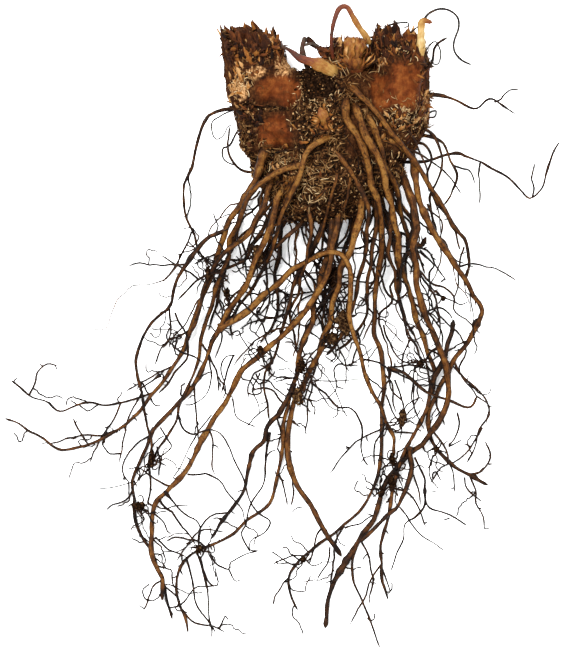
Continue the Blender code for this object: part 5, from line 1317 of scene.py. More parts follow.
class Crown:
    """The crown's surface: its mesh, its points and normals, and the share of each finish at each point."""

    def __init__(self, voxel, relief):
        self.mesh = self.remeshed(voxel)
        count = len(self.mesh.vertices)
        self.points, self.normals = np.empty(count * 3, np.float32), np.empty(count * 3, np.float32)
        self.mesh.vertices.foreach_get("co", self.points)
        self.mesh.vertices.foreach_get("normal", self.normals)
        self.points, self.normals = self.points.reshape(-1, 3).astype(float), self.normals.reshape(-1, 3).astype(float)
        self.tint()
        self.roughen(relief)

    @staticmethod
    def remeshed(voxel):
        """One closed mesh of the body and the knobs, made by remeshing their shells together in small cubes."""
        points, faces, count = [], [], 0
        for shell, sides in crown_shells(4):
            points.append(shell)
            faces += [[corner + count for corner in face] for face in sides]
            count += len(shell)
        mesh = bpy.data.meshes.new("crown_shells")
        mesh.from_pydata(np.concatenate(points).tolist(), [], faces)
        blank = bpy.data.objects.new("crown_shells", mesh)
        bpy.context.scene.collection.objects.link(blank)
        join = blank.modifiers.new("join", "REMESH")
        join.mode, join.voxel_size = "VOXEL", voxel
        bpy.context.view_layer.update()
        seen = blank.evaluated_get(bpy.context.evaluated_depsgraph_get())
        made = bpy.data.meshes.new_from_object(seen)
        bpy.data.objects.remove(blank)
        made.name = "woody_crown"
        made.materials.clear()
        return made

    def tint(self):
        """Works out where the bark is smooth and orange, where it is pale, and where soil covers it."""
        p = self.points
        front = front_share(p)
        back = 1 - front
        back_glow = eased(noise(p, 11 * MM, 31, 2) * 1.6 + 0.1) * eased((p[:, 1] + 2 * MM) / (9 * MM))
        self.glow = front * spots(p, GLOW_SPOTS, 11) + 0.8 * back * back_glow
        self.pale = front * spots(p, PALE_SPOTS, 41) + back * eased(noise(p, 6 * MM, 32, 2) * 2 - 1.1)
        x, y = p[:, 0] / MM, p[:, 1] / MM
        lower = 0.8 * eased((3 - y + 3 * noise(p, 5 * MM, 33)) / 9)
        between_knobs = eased((8.5 - np.abs(x + 1)) / 3) * eased((31 - y) / 4)
        rim = eased((self.normals[:, 1] - 0.35) / 0.3) * eased((y - 25) / 4)
        cover = np.maximum.reduce([lower, between_knobs, rim, front * spots(p, SOIL_SPOTS, 61)])
        cover = np.maximum(cover, eased(noise(p, 3.5 * MM, 34) * 1.5 - 0.25))
        self.soil = cover * (1 - 0.8 * np.maximum(self.glow, self.pale)) * (1 - 0.5 * back * (1 - lower))

    def roughen(self, relief):
        """Moves each point along its normal: low rings across the smooth bark, crumbs in the soil, ribs between."""
        p = self.points
        rings = np.sin(p[:, 1] / MM * 2.6 + 1.5 * noise(p, 5 * MM, 51, 2)) * 0.10
        ribs = noise(p * (1, 0.35, 1), 1.6 * MM, 52, 3) * 0.42
        crumbly = noise(p, 1.5 * MM, 53, 3) * 0.62 - 0.25
        bare = 1 - np.maximum(self.glow, self.soil)
        lift = rings * self.glow + ribs * np.clip(bare, 0, 1) + crumbly * self.soil
        self.points = p + self.normals * (lift * relief)[:, None]
        self.points[:, 2] = np.maximum(self.points[:, 2], LOWEST)
        self.mesh.vertices.foreach_set("co", self.points.astype(np.float32).ravel())
        self.mesh.update()

    def near(self, place, half):
        """A share for scattering round a spot of the front: 1 at its middle, and falling off like a bell."""
        (x, y), (half_x, half_y) = place, half
        away = ((self.points[:, 0] / MM - x) / half_x) ** 2 + ((self.points[:, 1] / MM - y) / half_y) ** 2
        return np.exp(-away) * front_share(self.points) + 1e-9

    def scatter(self, draw, count, share):
        """Places drawn at random on the surface, thicker where share is larger: their points and normals."""
        picked = draw.choice(len(self.points), count, p=share / share.sum())
        return self.points[picked], self.normals[picked]


@functools.cache
def crown_surface(voxel, relief):
    return Crown(voxel, relief)


def make_crown(settings):
    crown = crown_surface(settings.crown_detail, settings.bark_relief)
    for name in ("glow", "pale", "soil"):
        keep(crown.mesh, name, getattr(crown, name))
    piece = settle("woody_crown", crown.mesh, bark_finish(settings), ("crown",))
    piece.data.polygons.foreach_set("use_smooth", np.ones(len(piece.data.polygons), bool))


def blade_paths(foot, tip, out, bow, rows, curl=0.0):
    """Paths of blades from foot to tip: the chord plus bow * sin(share * pi) * length outwards, plus a curl that
    grows with the cube of the share."""
    share = np.linspace(0, 1, rows)[None, :, None]
    length = np.linalg.norm(tip - foot, axis=1)[:, None, None]
    lift = (np.asarray(bow).reshape(-1, 1, 1) * np.sin(share * math.pi)
            + np.asarray(curl).reshape(-1, 1, 1) * share ** 3) * length
    return foot[:, None] + (tip - foot)[:, None] * share + lift * out[:, None]


def torn_widths(width, rows, count, seed):
    """Half widths along blades: full near the foot, drawn to a point, and torn by noise along the edge."""
    share = np.linspace(0, 1, rows)
    profile = np.interp(share, (0, 0.35, 0.75, 1), (0.8, 1, 0.75, 0.22))
    place = np.stack(np.broadcast_arrays(share[None] * 6, np.arange(count)[:, None] * 1.37, 0.0), -1)
    return width[:, None] / 2 * profile * np.clip(1 + 0.6 * noise(place, 0.8, seed, 3), 0.3, 1.5)


def make_leaf_bases(settings):
    """The torn leaf bases round the rims: those that the solids have, split finer, and thin ones between."""
    surface = Surface()
    draw = np.random.default_rng(SHRED_SEED)
    extra = np.random.default_rng(SHRED_SEED + 1)
    for name, (count, length, lean) in SHREDS.items():
        top, radius = np.array(KNOBS[name][-1][:3]), KNOBS[name][-1][3]
        axis, across, up = knob_axes(name)
        feet, tips, outs, widths = [], [], [], []
        for n in range(count):
            turn = 2 * math.pi * (n + draw.uniform(-0.3, 0.3)) / count
            out = math.cos(turn) * across + math.sin(turn) * up
            foot = slanted(name, (top + out * radius * 0.84 - axis * SHRED_ROOT) * MM)
            reach = length * draw.uniform(0.3, 1.0)
            lift = axis * (SHRED_ROOT + reach) + out * reach * (lean + draw.uniform(-0.12, 0.2))
            feet.append(foot)
            tips.append(foot + lift * MM)
            outs.append(out)
            widths.append(draw.uniform(*SHRED_WIDTH))
        feet, tips, outs, widths = (np.array(a) for a in (feet, tips, outs, widths))
        add_blades(surface, feet, tips, outs, widths, 0.5 * MM, extra, LEAF_TONES[name])

        many = count * settings.thin_leaf_bases
        turn = extra.uniform(0, 2 * math.pi, many)
        out = np.cos(turn)[:, None] * across + np.sin(turn)[:, None] * up
        depth = extra.uniform(1, 9, many)[:, None]
        inward = extra.uniform(0.55, 1.02, many)[:, None]
        inward = np.where(depth > 4, 1.0, inward)
        foot = slanted(name, (top + out * radius * inward - axis * depth) * MM)
        reach = extra.uniform(1.5, length, many)[:, None]
        spread = extra.normal(0.12, 0.16, many)[:, None]
        side = unit(np.cross(out, axis))
        lift = axis * (reach + 1.5) + out * reach * spread + side * reach * extra.normal(0, 0.16, (many, 1))
        tip = foot + lift * MM
        width = extra.uniform(0.5, 1.7, many) * MM
        add_blades(surface, foot, tip, out, width, 0.26 * MM, extra, LEAF_TONES[name])
    for foot, tip, out, width, tone in LOOSE_SCRAPS:
        foot, tip, out = (np.array([row], float) for row in (foot, tip, out))
        add_blades(surface, foot * MM, tip * MM, unit(out), np.array([width * MM]), 0.4 * MM, extra, (tone, 0.05))
    crown = crown_surface(settings.crown_detail, settings.bark_relief)
    for place, half, count, tones in FLAKE_SPOTS:
        foot, out = crown.scatter(extra, count, crown.near(place, half))
        along = unit(np.cross(out, np.cross((0, 1.0, 0), out)) + extra.normal(0, 0.7, (count, 3)))
        along = unit(along - out * np.sum(along * out, axis=1, keepdims=True))
        reach = extra.uniform(0.8, 3.2, (count, 1)) * MM
        tip = foot + reach * (along + out * extra.uniform(0.02, 0.42, (count, 1)))
        add_blades(surface, foot - out * 0.2 * MM, tip, out, extra.gamma(3.0, 0.32, count) * MM, 0.24 * MM,
                   extra, tones)
    for scales in SCALES:
        add_scales(surface, *scales, extra)
    surface.piece("torn_leaf_bases", leaf_finish(settings), "bark")


def add_blades(surface, foot, tip, out, width, thick, draw, tones):
    """Torn blades from foot to tip with their flat side outwards, and a tone drawn for each."""
    count, rows = len(foot), 9
    path = blade_paths(foot, tip, out, draw.normal(0.05, 0.07, count), rows, draw.normal(0.03, 0.12, count))
    place = path + np.arange(count)[:, None, None] * 0.01
    path = path + 0.35 * MM * np.linspace(0, 1, rows)[None, :, None] * np.stack(
        [noise(place, 2 * MM, k, 2) for k in (71, 72, 73)], -1)
    wide = torn_widths(width, rows, count, int(draw.integers(1000)))
    thin = thick / 2 * np.linspace(1, 0.35, rows)
    middle, spread = tones
    tone = np.clip(draw.normal(middle, spread, (count, 1)) + np.linspace(-0.12, 0.12, rows), 0, 1)
    sweep(surface, path, wide, thin, 8, tone, facing=out, cup=-0.25, tip=0.5)


def make_peat(settings):
    """The two clods of peat held in the crown, and the clots of soil that cling among the roots."""
    finish = soil_finish(settings)
    for seed, (node, (centre, half)) in enumerate(PEAT.items()):
        surface = Surface()
        clod(surface, centre, half, 0.16, 0.1 + 0.25 * seed, seed, 60, 90)
        surface.piece(node + "_clod", finish, "peat", (node,))
    surface = Surface()
    draw = np.random.default_rng(5)
    for seed, ((x, y, z), (wide, long), brown) in enumerate(CLOTS):
        half = (wide / 2.6, long / 2.2, min(wide, long) / 2.6)
        clod(surface, (x, y, z), half, 0.7, brown, 90 + seed)
        count = int(30 + 5 * wide * long)
        away = unit(draw.normal(0, 1, (count, 3))) * draw.uniform(0.7, 1.15, (count, 1)) * half
        middles = (np.array((x, y, z)) + away) * MM
        crumbs(surface, middles, draw.uniform(0.14, 0.44, count) * MM, np.full(count, brown), draw)
    surface.piece("soil_clots", finish, "peat")


def make_soil(settings):
    """Crumbs of soil and short straws scattered over the crown and the clods."""
    crown = crown_surface(settings.crown_detail, settings.bark_relief)
    draw = np.random.default_rng(11)
    surface = Surface()
    points, normals = crown.scatter(draw, settings.crumbs, crown.soil ** 2 + 0.02)
    size = draw.uniform(0.16, 0.42, len(points)) * MM
    tone = np.where(draw.random(len(points)) < 0.16, draw.uniform(0.6, 1.0, len(points)),
                    draw.uniform(0.0, 0.4, len(points)))
    crumbs(surface, points + normals * size[:, None] * 0.4, size, tone, draw)
    for centre, half in PEAT.values():
        away = unit(draw.normal(0, 1, (700, 3)))
        tone = np.where(draw.random(700) < 0.26, draw.uniform(0.5, 0.95, 700), draw.uniform(0, 0.5, 700))
        size = draw.uniform(0.14, 0.46, 700) * MM * (1 - 0.4 * (tone > 0.45))
        crumbs(surface, (np.array(centre) + away * half) * MM, size, tone, draw)
    for middle, radius in collars():
        away = unit(draw.normal(0, 1, (36, 3))) * (1, 1, 0.6)
        size = draw.uniform(0.18, 0.6, 36) * MM
        crumbs(surface, middle + away * radius * draw.uniform(0.8, 1.6, (36, 1)), size,
               draw.uniform(0.0, 0.75, 36), draw)
    surface.piece("soil_crumbs", crumb_finish(settings), "peat")

    straw = Surface()
    for place, half, count, lengths, tone in STRAW_SPOTS:
        add_straws(straw, *crown.scatter(draw, count, crown.near(place, half)), lengths, tone, draw)
    points, normals = crown.scatter(draw, settings.straws, crown.soil + 0.05)
    add_straws(straw, points, normals, (0.8, 3.2), 0.55, draw)
    centre, half = (np.array(values) for values in PEAT["peat_fibrous"])
    away = unit(draw.normal(0, 1, (260, 3)))
    away[:, 2] = np.abs(away[:, 2])
    add_straws(straw, (centre + away * half * 1.03) * MM, away, (0.8, 3.0), 0.64, draw)
    for middle, radius in collars():
        foot = middle + (draw.normal(0, 0.9, (12, 3)) * (1, 1, 0.2) + (0, 0, 0.8)) * radius
        add_straws(straw, foot, np.tile((0.0, 0.0, 1.0), (12, 1)), (1.5, 4.5), 0.48, draw)
    straw.piece("straw_fibres", straw_finish(settings), "peat")


def collars():
    """Where the roots come out of the crown's face: the middle of each and its radius there."""
    found = []
    for strand in strands()[1]:
        fine = curve(np.column_stack([strand.points, strand.radius]), 1.0 * MM)
        tops = np.array([face_height(x, y) for x, y in fine[:30, :2]])
        free = np.flatnonzero((fine[:30, 2] + 0.4 * fine[:30, 3] > tops) & (tops > 0))
        if strand.parent is None and len(free) and free[0] > 0:
            n = free[0]
            found.append((np.append(fine[n, :2], tops[n]), fine[n, 3]))
    return found


def add_straws(surface, foot, normal, lengths, tone, draw):
    """Short bent fibres that lie along the surface: middle + tangent * run, with a bend across and a low hump."""
    count, rows = len(foot), 5
    tangent = unit(np.cross(normal, draw.normal(0, 1, (count, 3))))
    across = np.cross(normal, tangent)
    length = draw.uniform(*lengths, count)[:, None, None] * MM
    share = np.linspace(-0.5, 0.5, rows)[None, :, None]
    bend = draw.normal(0, 0.5, (count, 1, 1)) * (share ** 2 - 0.1)
    lift = draw.uniform(0.0, 0.16, (count, 1, 1)) * (1 - 3 * share ** 2) + 0.03
    path = foot[:, None] + length * (share * tangent[:, None] + bend * across[:, None] + lift * normal[:, None])
    path[..., 2] = np.maximum(path[..., 2], 0.25 * MM)
    radius = draw.uniform(0.07, 0.15, (count, 1)) * MM
    tones = np.clip(draw.normal(tone, 0.16, (count, 1)), 0, 1)
    sweep(surface, path, radius, radius, 4, tones, facing=normal, tip=0.5)


def swaying(points, seed, amount, floor):
    """A path that strays from its smooth course, across and up, and is held at its two ends: it wavers by noise
    and turns sharply at even steps, by offsets drawn at random for each."""
    run = run_of(points)
    held = eased(run / (6 * MM)) * eased((run[-1] - run) / (6 * MM))
    course = np.column_stack([run, seed * 0.037 + 0 * run, 0 * run])
    across = unit(np.cross(np.gradient(points, axis=0), (0, 0, 1.0)))
    marks = np.arange(0, run[-1] + KINK_STEP, KINK_STEP)
    kinks = np.interp(run, marks, np.random.default_rng(seed).normal(0, KINK_SHARE, len(marks)))
    sway = (0.8 * noise(course, 12 * MM, seed, 2) + kinks)[:, None] * across
    bob = noise(course, 9 * MM, seed + 3, 2)[:, None] * np.array((0, 0, 0.6))
    moved = points + amount * held[:, None] * (sway + bob)
    moved[:, 2] = np.maximum(moved[:, 2], floor)
    return moved


def knotted(path):
    """How near each point of a path is to a knot: 1 at its middle, and falling off like a bell round it."""
    away = np.linalg.norm(path[:, None, :2] / MM - KNOTS, axis=2)
    return np.exp(-(away / 0.9) ** 2).max(axis=1)


def root_tone(number, share):
    start, kept = ROOT_TONES[number]
    return start * (1 + (kept - 1) * share ** 0.8) * (1 - 0.5 * share ** 6)


def make_roots(settings):
    """One piece for each root: the root, its branches and its rootlets, in place of its solid."""
    _, mains, rootlets = strands()
    finish = root_finish(settings)
    for number in range(len(ROOTS)):
        node = f"root_{number + 1:02d}"
        surface = Surface()
        own = [s for s in mains if s.node == node]
        for k, strand in enumerate(own):
            fine = curve(np.column_stack([strand.points, strand.radius]), settings.root_detail)
            path, radius = fine[:, :3], fine[:, 3]
            seed = 40 * number + k
            path = swaying(path, seed, settings.sway, radius)
            knots = np.clip(noise(path, 4.5 * MM, 83, 1) - 0.4, 0, 1)
            radius = radius * (0.85 + 0.15 * noise(path, 3.6 * MM, 78, 3) + 0.8 * knots + 0.42 * knotted(path))
            share = run_of(path) / run_of(path)[-1]
            if (node, k) == ARCH:
                path[:, 2] += ARCH_LIFT * np.sin(math.pi * share) ** 2
                radius = radius * ARCH_SWELL
            whole = strand.parent is None
            tone = root_tone(number, share) if whole else root_tone(number, 0.6 + 0.4 * share) * 0.5
            if (node, k) == ARCH:
                tone = np.interp(share, (0, 0.3, 0.6, 1), (0.64, 0.84, 0.82, 0.42))
            tone = tone + 0.16 * noise(path, 6 * MM, 77, 3) - 0.15 * knotted(path)
            sides = 12 if whole else 8
            sweep(surface, path[None], radius[None], radius[None], sides, tone[None], wrinkle=0.13, seed=seed)
        thin = [s for s in rootlets if s.node == node]
        if thin:
            paths = np.stack([evenly(s.points, 13) for s in thin])
            radius = np.linspace(*settings.rootlet_radius, 13)
            place = paths + np.arange(len(thin))[:, None, None] * 0.013
            paths = paths + 0.3 * MM * eased(np.linspace(0, 3, 13))[None, :, None] * np.stack(
                [noise(place, 3 * MM, k, 2) for k in (81, 82, 83)], -1)
            paths[..., 2] = np.maximum(paths[..., 2], radius)
            tone = root_tone(number, 0.8) * 0.45 + 0 * radius
            sweep(surface, paths, radius, radius, 6, tone, wrinkle=0.12, seed=number)
        surface.piece(f"{node}_bark", finish, "root_skin", (node,))


def evenly(points, rows):
    """The given number of points at even steps along the smooth curve through some points."""
    fine = curve(points, 0.3 * MM)
    run = run_of(fine)
    marks = np.linspace(0, run[-1], rows)
    return np.column_stack([np.interp(marks, run, fine[:, k]) for k in range(3)])


def make_threads(settings):
    """The finest roots: those drawn one by one, and hairs and short stubs scattered along the thicker ones."""
    _, mains, rootlets = strands()
    surface = Surface()
    draw = np.random.default_rng(23)
    for height, threads in THREADS.items():
        for width, route in threads:
            path = curve(np.array(route) * MM, 0.9 * MM)
            path = np.column_stack([path, np.full(len(path), height * MM)])
            path = swaying(path, int(draw.integers(1000)), 0.45 * MM, 0.3 * MM)
            radius = np.linspace(width * 0.66, width * 0.46, len(path)) * MM
            radius = radius * (1 + 0.2 * noise(path, 3 * MM, 84, 2) + knotted(path))
            sweep(surface, path[None], radius, radius, 6, 0.03 + 0.28 * (width > 0.8), wrinkle=0.12)
    for number, (width, tone, end, route) in enumerate(LAID_ROOTS):
        path = laid(np.array(route) * MM, width / 2 * MM, end * MM)
        path = swaying(path, 300 + number, 0.3 * MM, 0.3 * MM)
        share = np.linspace(0, 1, len(path))
        radius = width / 2 * MM * (1 - 0.5 * share) * (1 + 0.14 * noise(path, 3 * MM, 79, 3))
        tones = tone * (1 - 0.5 * share) + 0.14 * noise(path, 5 * MM, 80, 2)
        sweep(surface, path[None], radius[None], radius[None], 8, tones[None], wrinkle=0.13, seed=number)
    add_web(surface, settings.web, draw)
    for middle, size, _ in CLOTS:
        count = int(4 + 1.2 * max(size))
        feet = (np.array(middle) + draw.normal(0, 0.25, (count, 3)) * (*size, 1)) * MM
        course = -math.pi / 2 + draw.normal(0, 0.9, count) + math.pi * (draw.random(count) < 0.3)
        add_hairs(surface, feet, course, 0.1, (3, 12), 0.27, 14, 0.55, draw)
    hosts = mains + rootlets
    for count, *shape in ((settings.hairs, (4, 14), 0.27, 14, 0.45), (settings.stubs, (0.8, 2.6), 0.26, 4, 0.3)):
        feet, course, tone = hair_feet(hosts, count, draw)
        add_hairs(surface, feet, course, tone[:, None], *shape, draw)
    surface.piece("root_threads", root_finish(settings), "root_skin")


def add_hairs(surface, feet, course, tone, lengths, radius, rows, curl, draw):
    """Hairs from their feet: each step turns from the last by a random angle. Those that leave the spread of the
    roots are left out."""
    count = len(feet)
    length = draw.uniform(*lengths, count) * MM
    turns = np.cumsum(draw.normal(0, curl, (count, rows - 1)), axis=1)
    heading = course[:, None] + turns
    steps = np.stack([np.cos(heading), np.sin(heading), draw.normal(-0.05, 0.22, heading.shape)], -1)
    steps = steps * (length / (rows - 1))[:, None, None]
    path = feet[:, None] + np.concatenate([np.zeros((count, 1, 3)), np.cumsum(steps, axis=1)], axis=1)
    path[..., 2] = np.maximum(path[..., 2], 0.25 * MM)
    x, y = path[..., 0] / MM, path[..., 1] / MM
    inside = ((x > SPREAD[0]) & (x < SPREAD[1]) & (y > SPREAD[2]) & (y < -16)).all(axis=1)
    thin = np.linspace(radius, radius * 0.8, rows) * MM * draw.uniform(0.85, 1.2, (count, 1))
    tone = np.broadcast_to(tone, (count, 1))
    sweep(surface, path[inside], thin[inside], thin[inside], 5, tone[inside])


def laid(route, radius, end):
    """A path that rests on the crown's face and droops to a height at its far end where it has left it."""
    plan = curve(route, 1.0 * MM)
    tops = np.array([face_height(x, y) for x, y in plan])
    last = np.flatnonzero(tops)[-1]
    run = run_of(plan)
    hang = tops[last] + (end - tops[last]) * eased((run - run[last]) / max(run[-1] - run[last], MM))
    height = np.where(np.arange(len(run)) > last, hang, tops) + 0.8 * radius
    for _ in range(6):
        height[1:-1] = (height[:-2] + 2 * height[1:-1] + height[2:]) / 4
    height[0] -= 2 * radius
    return np.column_stack([plan, height])


def add_web(surface, count, draw):
    """Thin dark roots from the crown's lower edge: each heads down its part of the fan, and its heading strays
    by noise along its run while it sinks to the floor."""
    rows = 46
    x, y = draw.uniform(-25, 31, count), draw.uniform(-17, -9, count)
    start = np.stack([x, y, draw.uniform(3, 15, count)], -1) * MM
    length = draw.uniform(16, 80, count) * MM
    run = np.linspace(0, 1, rows) * length[:, None]
    course = np.stack([run, 0.31 * np.arange(count)[:, None] + 0 * run, 0 * run], -1)
    heading = np.radians(-90 + (x - 3)[:, None] * 0.6 + draw.normal(0, 10, (count, 1)))
    heading = heading + 0.5 * noise(course, 18 * MM, 401, 1) + 0.85 * noise(course, 5 * MM, 402, 3)
    step = length[:, None] / (rows - 1)
    steps = np.stack([np.cos(heading) * step, np.sin(heading) * step], -1)
    plan = start[:, None, :2] + np.cumsum(steps, axis=1)
    sink = eased(run / (60 * MM))
    low = draw.uniform(1.0, 5.0, (count, 1)) * MM
    height = start[:, 2:] + (low - start[:, 2:]) * sink + 1.2 * MM * noise(course, 14 * MM, 403, 2)
    path = np.concatenate([plan, np.maximum(height, 0.5 * MM)[..., None]], -1)
    thick = draw.uniform(0.25, 0.5, (count, 1)) * MM * np.linspace(1, 0.5, rows)
    thick = thick * (1 + 0.15 * noise(path, 3 * MM, 404, 2))
    tone = draw.uniform(0.04, 0.42, (count, 1)) + 0.12 * noise(path, 5 * MM, 405, 2)
    sweep(surface, path, thick, thick, 6, tone, wrinkle=0.12, seed=406)


def hair_feet(hosts, count, draw):
    """Where hairs leave their roots, their headings seen from above, and their tones."""
    lengths = np.array([run_of(s.points)[-1] for s in hosts])
    picked = draw.choice(len(hosts), count, p=lengths / lengths.sum())
    feet, course = np.empty((count, 3)), np.empty(count)
    for n, index in enumerate(picked):
        strand = hosts[index]
        place = draw.uniform(0.15, 1.0) * (len(strand.points) - 1.001)
        feet[n] = strand.at(place)
        ahead = strand.points[int(place) + 1] - strand.points[int(place)]
        course[n] = math.atan2(ahead[1], ahead[0]) + draw.choice((-1, 1)) * draw.uniform(0.5, 1.5)
    return feet, course, draw.uniform(0.0, 0.16, count)


def make_shoots(settings):
    """The shoots, buds and old stalk, each in place of its solid."""
    shoots, _, _ = strands()
    finish = shoot_finish(settings)
    for seed, (node, (flat, *tones)) in enumerate(SHOOT_TONES.items()):
        surface = Surface()
        for k, strand in enumerate(s for s in shoots if s.node == node):
            fine = curve(np.column_stack([strand.points, strand.radius]), 0.5 * MM)
            share = run_of(fine[:, :3]) / run_of(fine[:, :3])[-1]
            stops = tones[min(k, len(tones) - 1)]
            tone = np.interp(share, np.linspace(0, 1, len(stops)), stops)
            path = swaying(fine[:, :3], seed, 0.15 * MM, 0)
            wrinkle, share = CRINKLES[node]
            radius = fine[None, :, 3] * share * (1 + wrinkle * noise(fine[None, :, :3], 1.6 * MM, 96, 2))
            sweep(surface, path[None], radius * flat, radius / flat, 16, tone[None], wrinkle=wrinkle, seed=seed)
        surface.piece(f"{node}_skin", finish, "shoot_skin", (node,))


def add_scales(surface, foot, axis, radius, count, length, width, tone, draw):
    """Leafy scales that wrap a bud: blades from a ring round its axis, curved in over it."""
    axis = unit(np.array(axis, float))
    across = unit(np.cross(axis, (0, 0, 1)))
    up = np.cross(across, axis)
    turn = 2 * math.pi * (np.arange(count) * 0.618 + draw.uniform(-0.05, 0.05, count))
    out = np.cos(turn)[:, None] * across + np.sin(turn)[:, None] * up
    start = (np.array(foot) + out * radius * 0.9) * MM
    reach = draw.uniform(0.6, 1.0, (count, 1)) * length
    tip = start + (axis * reach + out * radius * draw.uniform(-0.25, 0.4, (count, 1))) * MM
    rows = 12
    path = blade_paths(start, tip, out, np.full(count, 0.14), rows, draw.normal(0, 0.08, count))
    share = np.linspace(0, 1, rows)
    wide = width / 2 * MM * np.interp(share, (0, 0.3, 0.75, 1), (0.7, 1, 0.75, 0.15))
    wide = wide * (1 + 0.35 * noise(path, 1.0 * MM, 95, 3))
    path = path + 0.4 * MM * share[None, :, None] * np.stack(
        [noise(path, 1.6 * MM, k, 2) for k in (91, 92, 93)], -1)
    thin = np.linspace(0.2, 0.12, rows) * MM
    tones = draw.normal(tone, 0.10, (count, 1)) + np.interp(share, (0, 0.5, 1), (-0.25, 0.08, -0.15))
    sweep(surface, path, wide, thin, 8, np.clip(tones, 0, 1), facing=out, cup=-0.22, tip=0.5)


def bark_finish(s):
    """The crown's bark: brown and cloudy, smooth and orange in places, pale in others, and dark under soil."""
    f = Finish("crown_bark", 0.8, 0.02)
    where = f.place()
    fine = f.mottle(where, 0.9 * MM, 6, 0.7)
    cloud = f.mottle(where, 3.4 * MM, 5)
    stretched = f.node("Mapping", {"Vector": where, "Scale": (1.0, 0.3, 1.0)})
    streak = f.mottle(stretched, 1.0 * MM, 6, 0.7)
    bark = f.ramp(streak * 0.5 + fine * 0.5, (0.36, DARK_BARK), (0.46, (0.0133, 0.00444, 0.00163)), (0.53, MID_BARK),
                  (0.66, LIGHT_BARK))
    deep = cloud * 0.7 + streak * 0.3 + (f.kept("glow") - 0.95) * 0.2
    glow = f.ramp(deep, (0.36, RED_BARK), (0.50, s.smooth_bark), (0.64, AMBER_BARK))
    patches = f.mottle(where, 2.0 * MM, 6, 0.7)
    glow = f.mix(f.step(patches, 0.48, 0.66) * 0.75, glow, (0.0266, 0.0080, 0.0020))
    pale = f.ramp(streak * 0.5 + fine * 0.5, (0.38, MID_BARK), (0.47, LIGHT_BARK), (0.60, s.pale_bark))
    soil = f.ramp(fine, (0.40, s.soil_dark), (0.50, (0.0074, 0.00333, 0.00163)), (0.57, (0.0340, 0.0125, 0.0034)),
                  (0.66, (0.0851, 0.0444, 0.0178)))
    edge = (fine - 0.5) * 1.1 + (streak - 0.5) * 1.1
    colour = f.mix(f.step(f.kept("glow") + edge, 0.0, 1.0), bark, glow)
    colour = f.mix(f.step(f.kept("pale") + edge, 0.25, 1.0), colour, pale)
    colour = f.mix(f.step(f.kept("soil") + edge, 0.25, 0.65), colour, soil)
    rough = 0.9 - 0.3 * f.kept("glow")
    return f.finished(colour, rough, fine * 0.6 + streak * 0.4, 0.0006, 0.9)


def leaf_finish(s):
    """Torn leaf bases: from dark brown through rusty orange to straw, with fibres that run along the blade."""
    f = Finish("leaf_base", 0.75, 0.06)
    fibre = f.mottle(f.grain(), 0.35 * MM, 3)
    cloud = f.mottle(f.place(), 2.5 * MM, 4)
    share = f.kept("tone") * 0.8 + fibre * 0.55 + cloud * 0.6 - 0.52
    colour = f.ramp(share, (0.05, (0.0037, 0.00148, 0.00074)), (0.26, (0.0178, 0.00518, 0.00163)),
                    (0.48, s.leaf_base), (0.68, (0.1300, 0.0490, 0.0085)), (0.95, (0.290, 0.170, 0.071)))
    return f.finished(colour, 0.65 + 0.3 * cloud, fibre, 0.0003, 0.8)


def soil_finish(s):
    """Peat: near black with brown crumbs and a few pale specks."""
    f = Finish("peat_soil", 0.95, 0.0)
    fine = f.mottle(f.place(), 0.7 * MM, 5)
    share = fine + f.kept("tone") * 0.16
    colour = f.ramp(share, (0.42, s.soil_dark), (0.58, (0.00888, 0.00407, 0.00207)), (0.70, (0.0407, 0.02, 0.00814)),
                    (0.80, (0.150, 0.090, 0.038)))
    return f.finished(colour, None, fine, 0.0006, 1.0)


def crumb_finish(s):
    f = Finish("soil_crumb", 0.95, 0.0)
    fine = f.mottle(f.place(), 0.3 * MM, 3)
    colour = f.ramp(f.kept("tone") + (fine - 0.5) * 0.3, (0.05, s.soil_dark), (0.35, (0.0140, 0.0054, 0.0022)),
                    (0.60, (0.0590, 0.0225, 0.0060)), (0.95, (0.270, 0.160, 0.070)))
    return f.finished(colour, None, fine, 0.0002, 0.6)


def straw_finish(s):
    """Straw and dry fibre: brown to pale, with a thin streak along each."""
    f = Finish("straw_fibre", 0.75, 0.04)
    streak = f.mottle(f.grain(), 0.2 * MM, 3)
    share = f.kept("tone") + (streak - 0.5) * 0.5
    colour = f.ramp(share, (0.10, (0.00666, 0.00296, 0.00111)), (0.45, (0.046, 0.0170, 0.0042)), (0.70, s.straw),
                    (0.95, (0.330, 0.235, 0.125)))
    return f.finished(colour, None, streak, 0.0001, 0.5)


def root_finish(s):
    """Root skin: near black where thin, through brown to golden ochre where thick, in cloudy bands with fine
    streaks along the root and dark flecks of soil, with painted light: paler where the skin faces up and
    darker where it faces sideways or down."""
    f = Finish("root_bark", 0.6, 0.06)
    streak = f.mottle(f.grain(), 0.42 * MM, 5, 0.7)
    cloud = f.mottle(f.place(), 3.2 * MM, 5)
    fleck = f.mottle(f.place(), 0.9 * MM, 4, 0.7)
    upward = f.node("SeparateXYZ", {"Vector": f.node("TexCoord", out=1)}, out=2)
    # Painted light and shade: the skin is made paler where its surface faces up and darker where it faces sideways or
    # down
    painted_top_light = f.step(upward, 0.1, 1.0) - 0.78
    share = f.kept("tone") + (streak - 0.5) * 1.3 + (cloud - 0.5) * 1.5 + painted_top_light * 0.6
    colour = f.ramp(share, (0.0, BLACK_ROOT), (0.22, (0.0060, 0.0022, 0.0009)), (0.45, s.brown_root),
                    (0.66, (0.047, 0.0155, 0.0029)), (0.86, s.golden_root), (1.0, (0.116, 0.053, 0.0112)))
    colour = f.mix(f.step(fleck, 0.50, 0.66) * 0.85, colour, (0.0048, 0.0021, 0.0009))
    rough = 0.50 + 0.35 * f.step(fleck, 0.40, 0.70)
    return f.finished(colour, rough, streak * 0.7 + fleck * 0.3, 0.0004, 0.9)


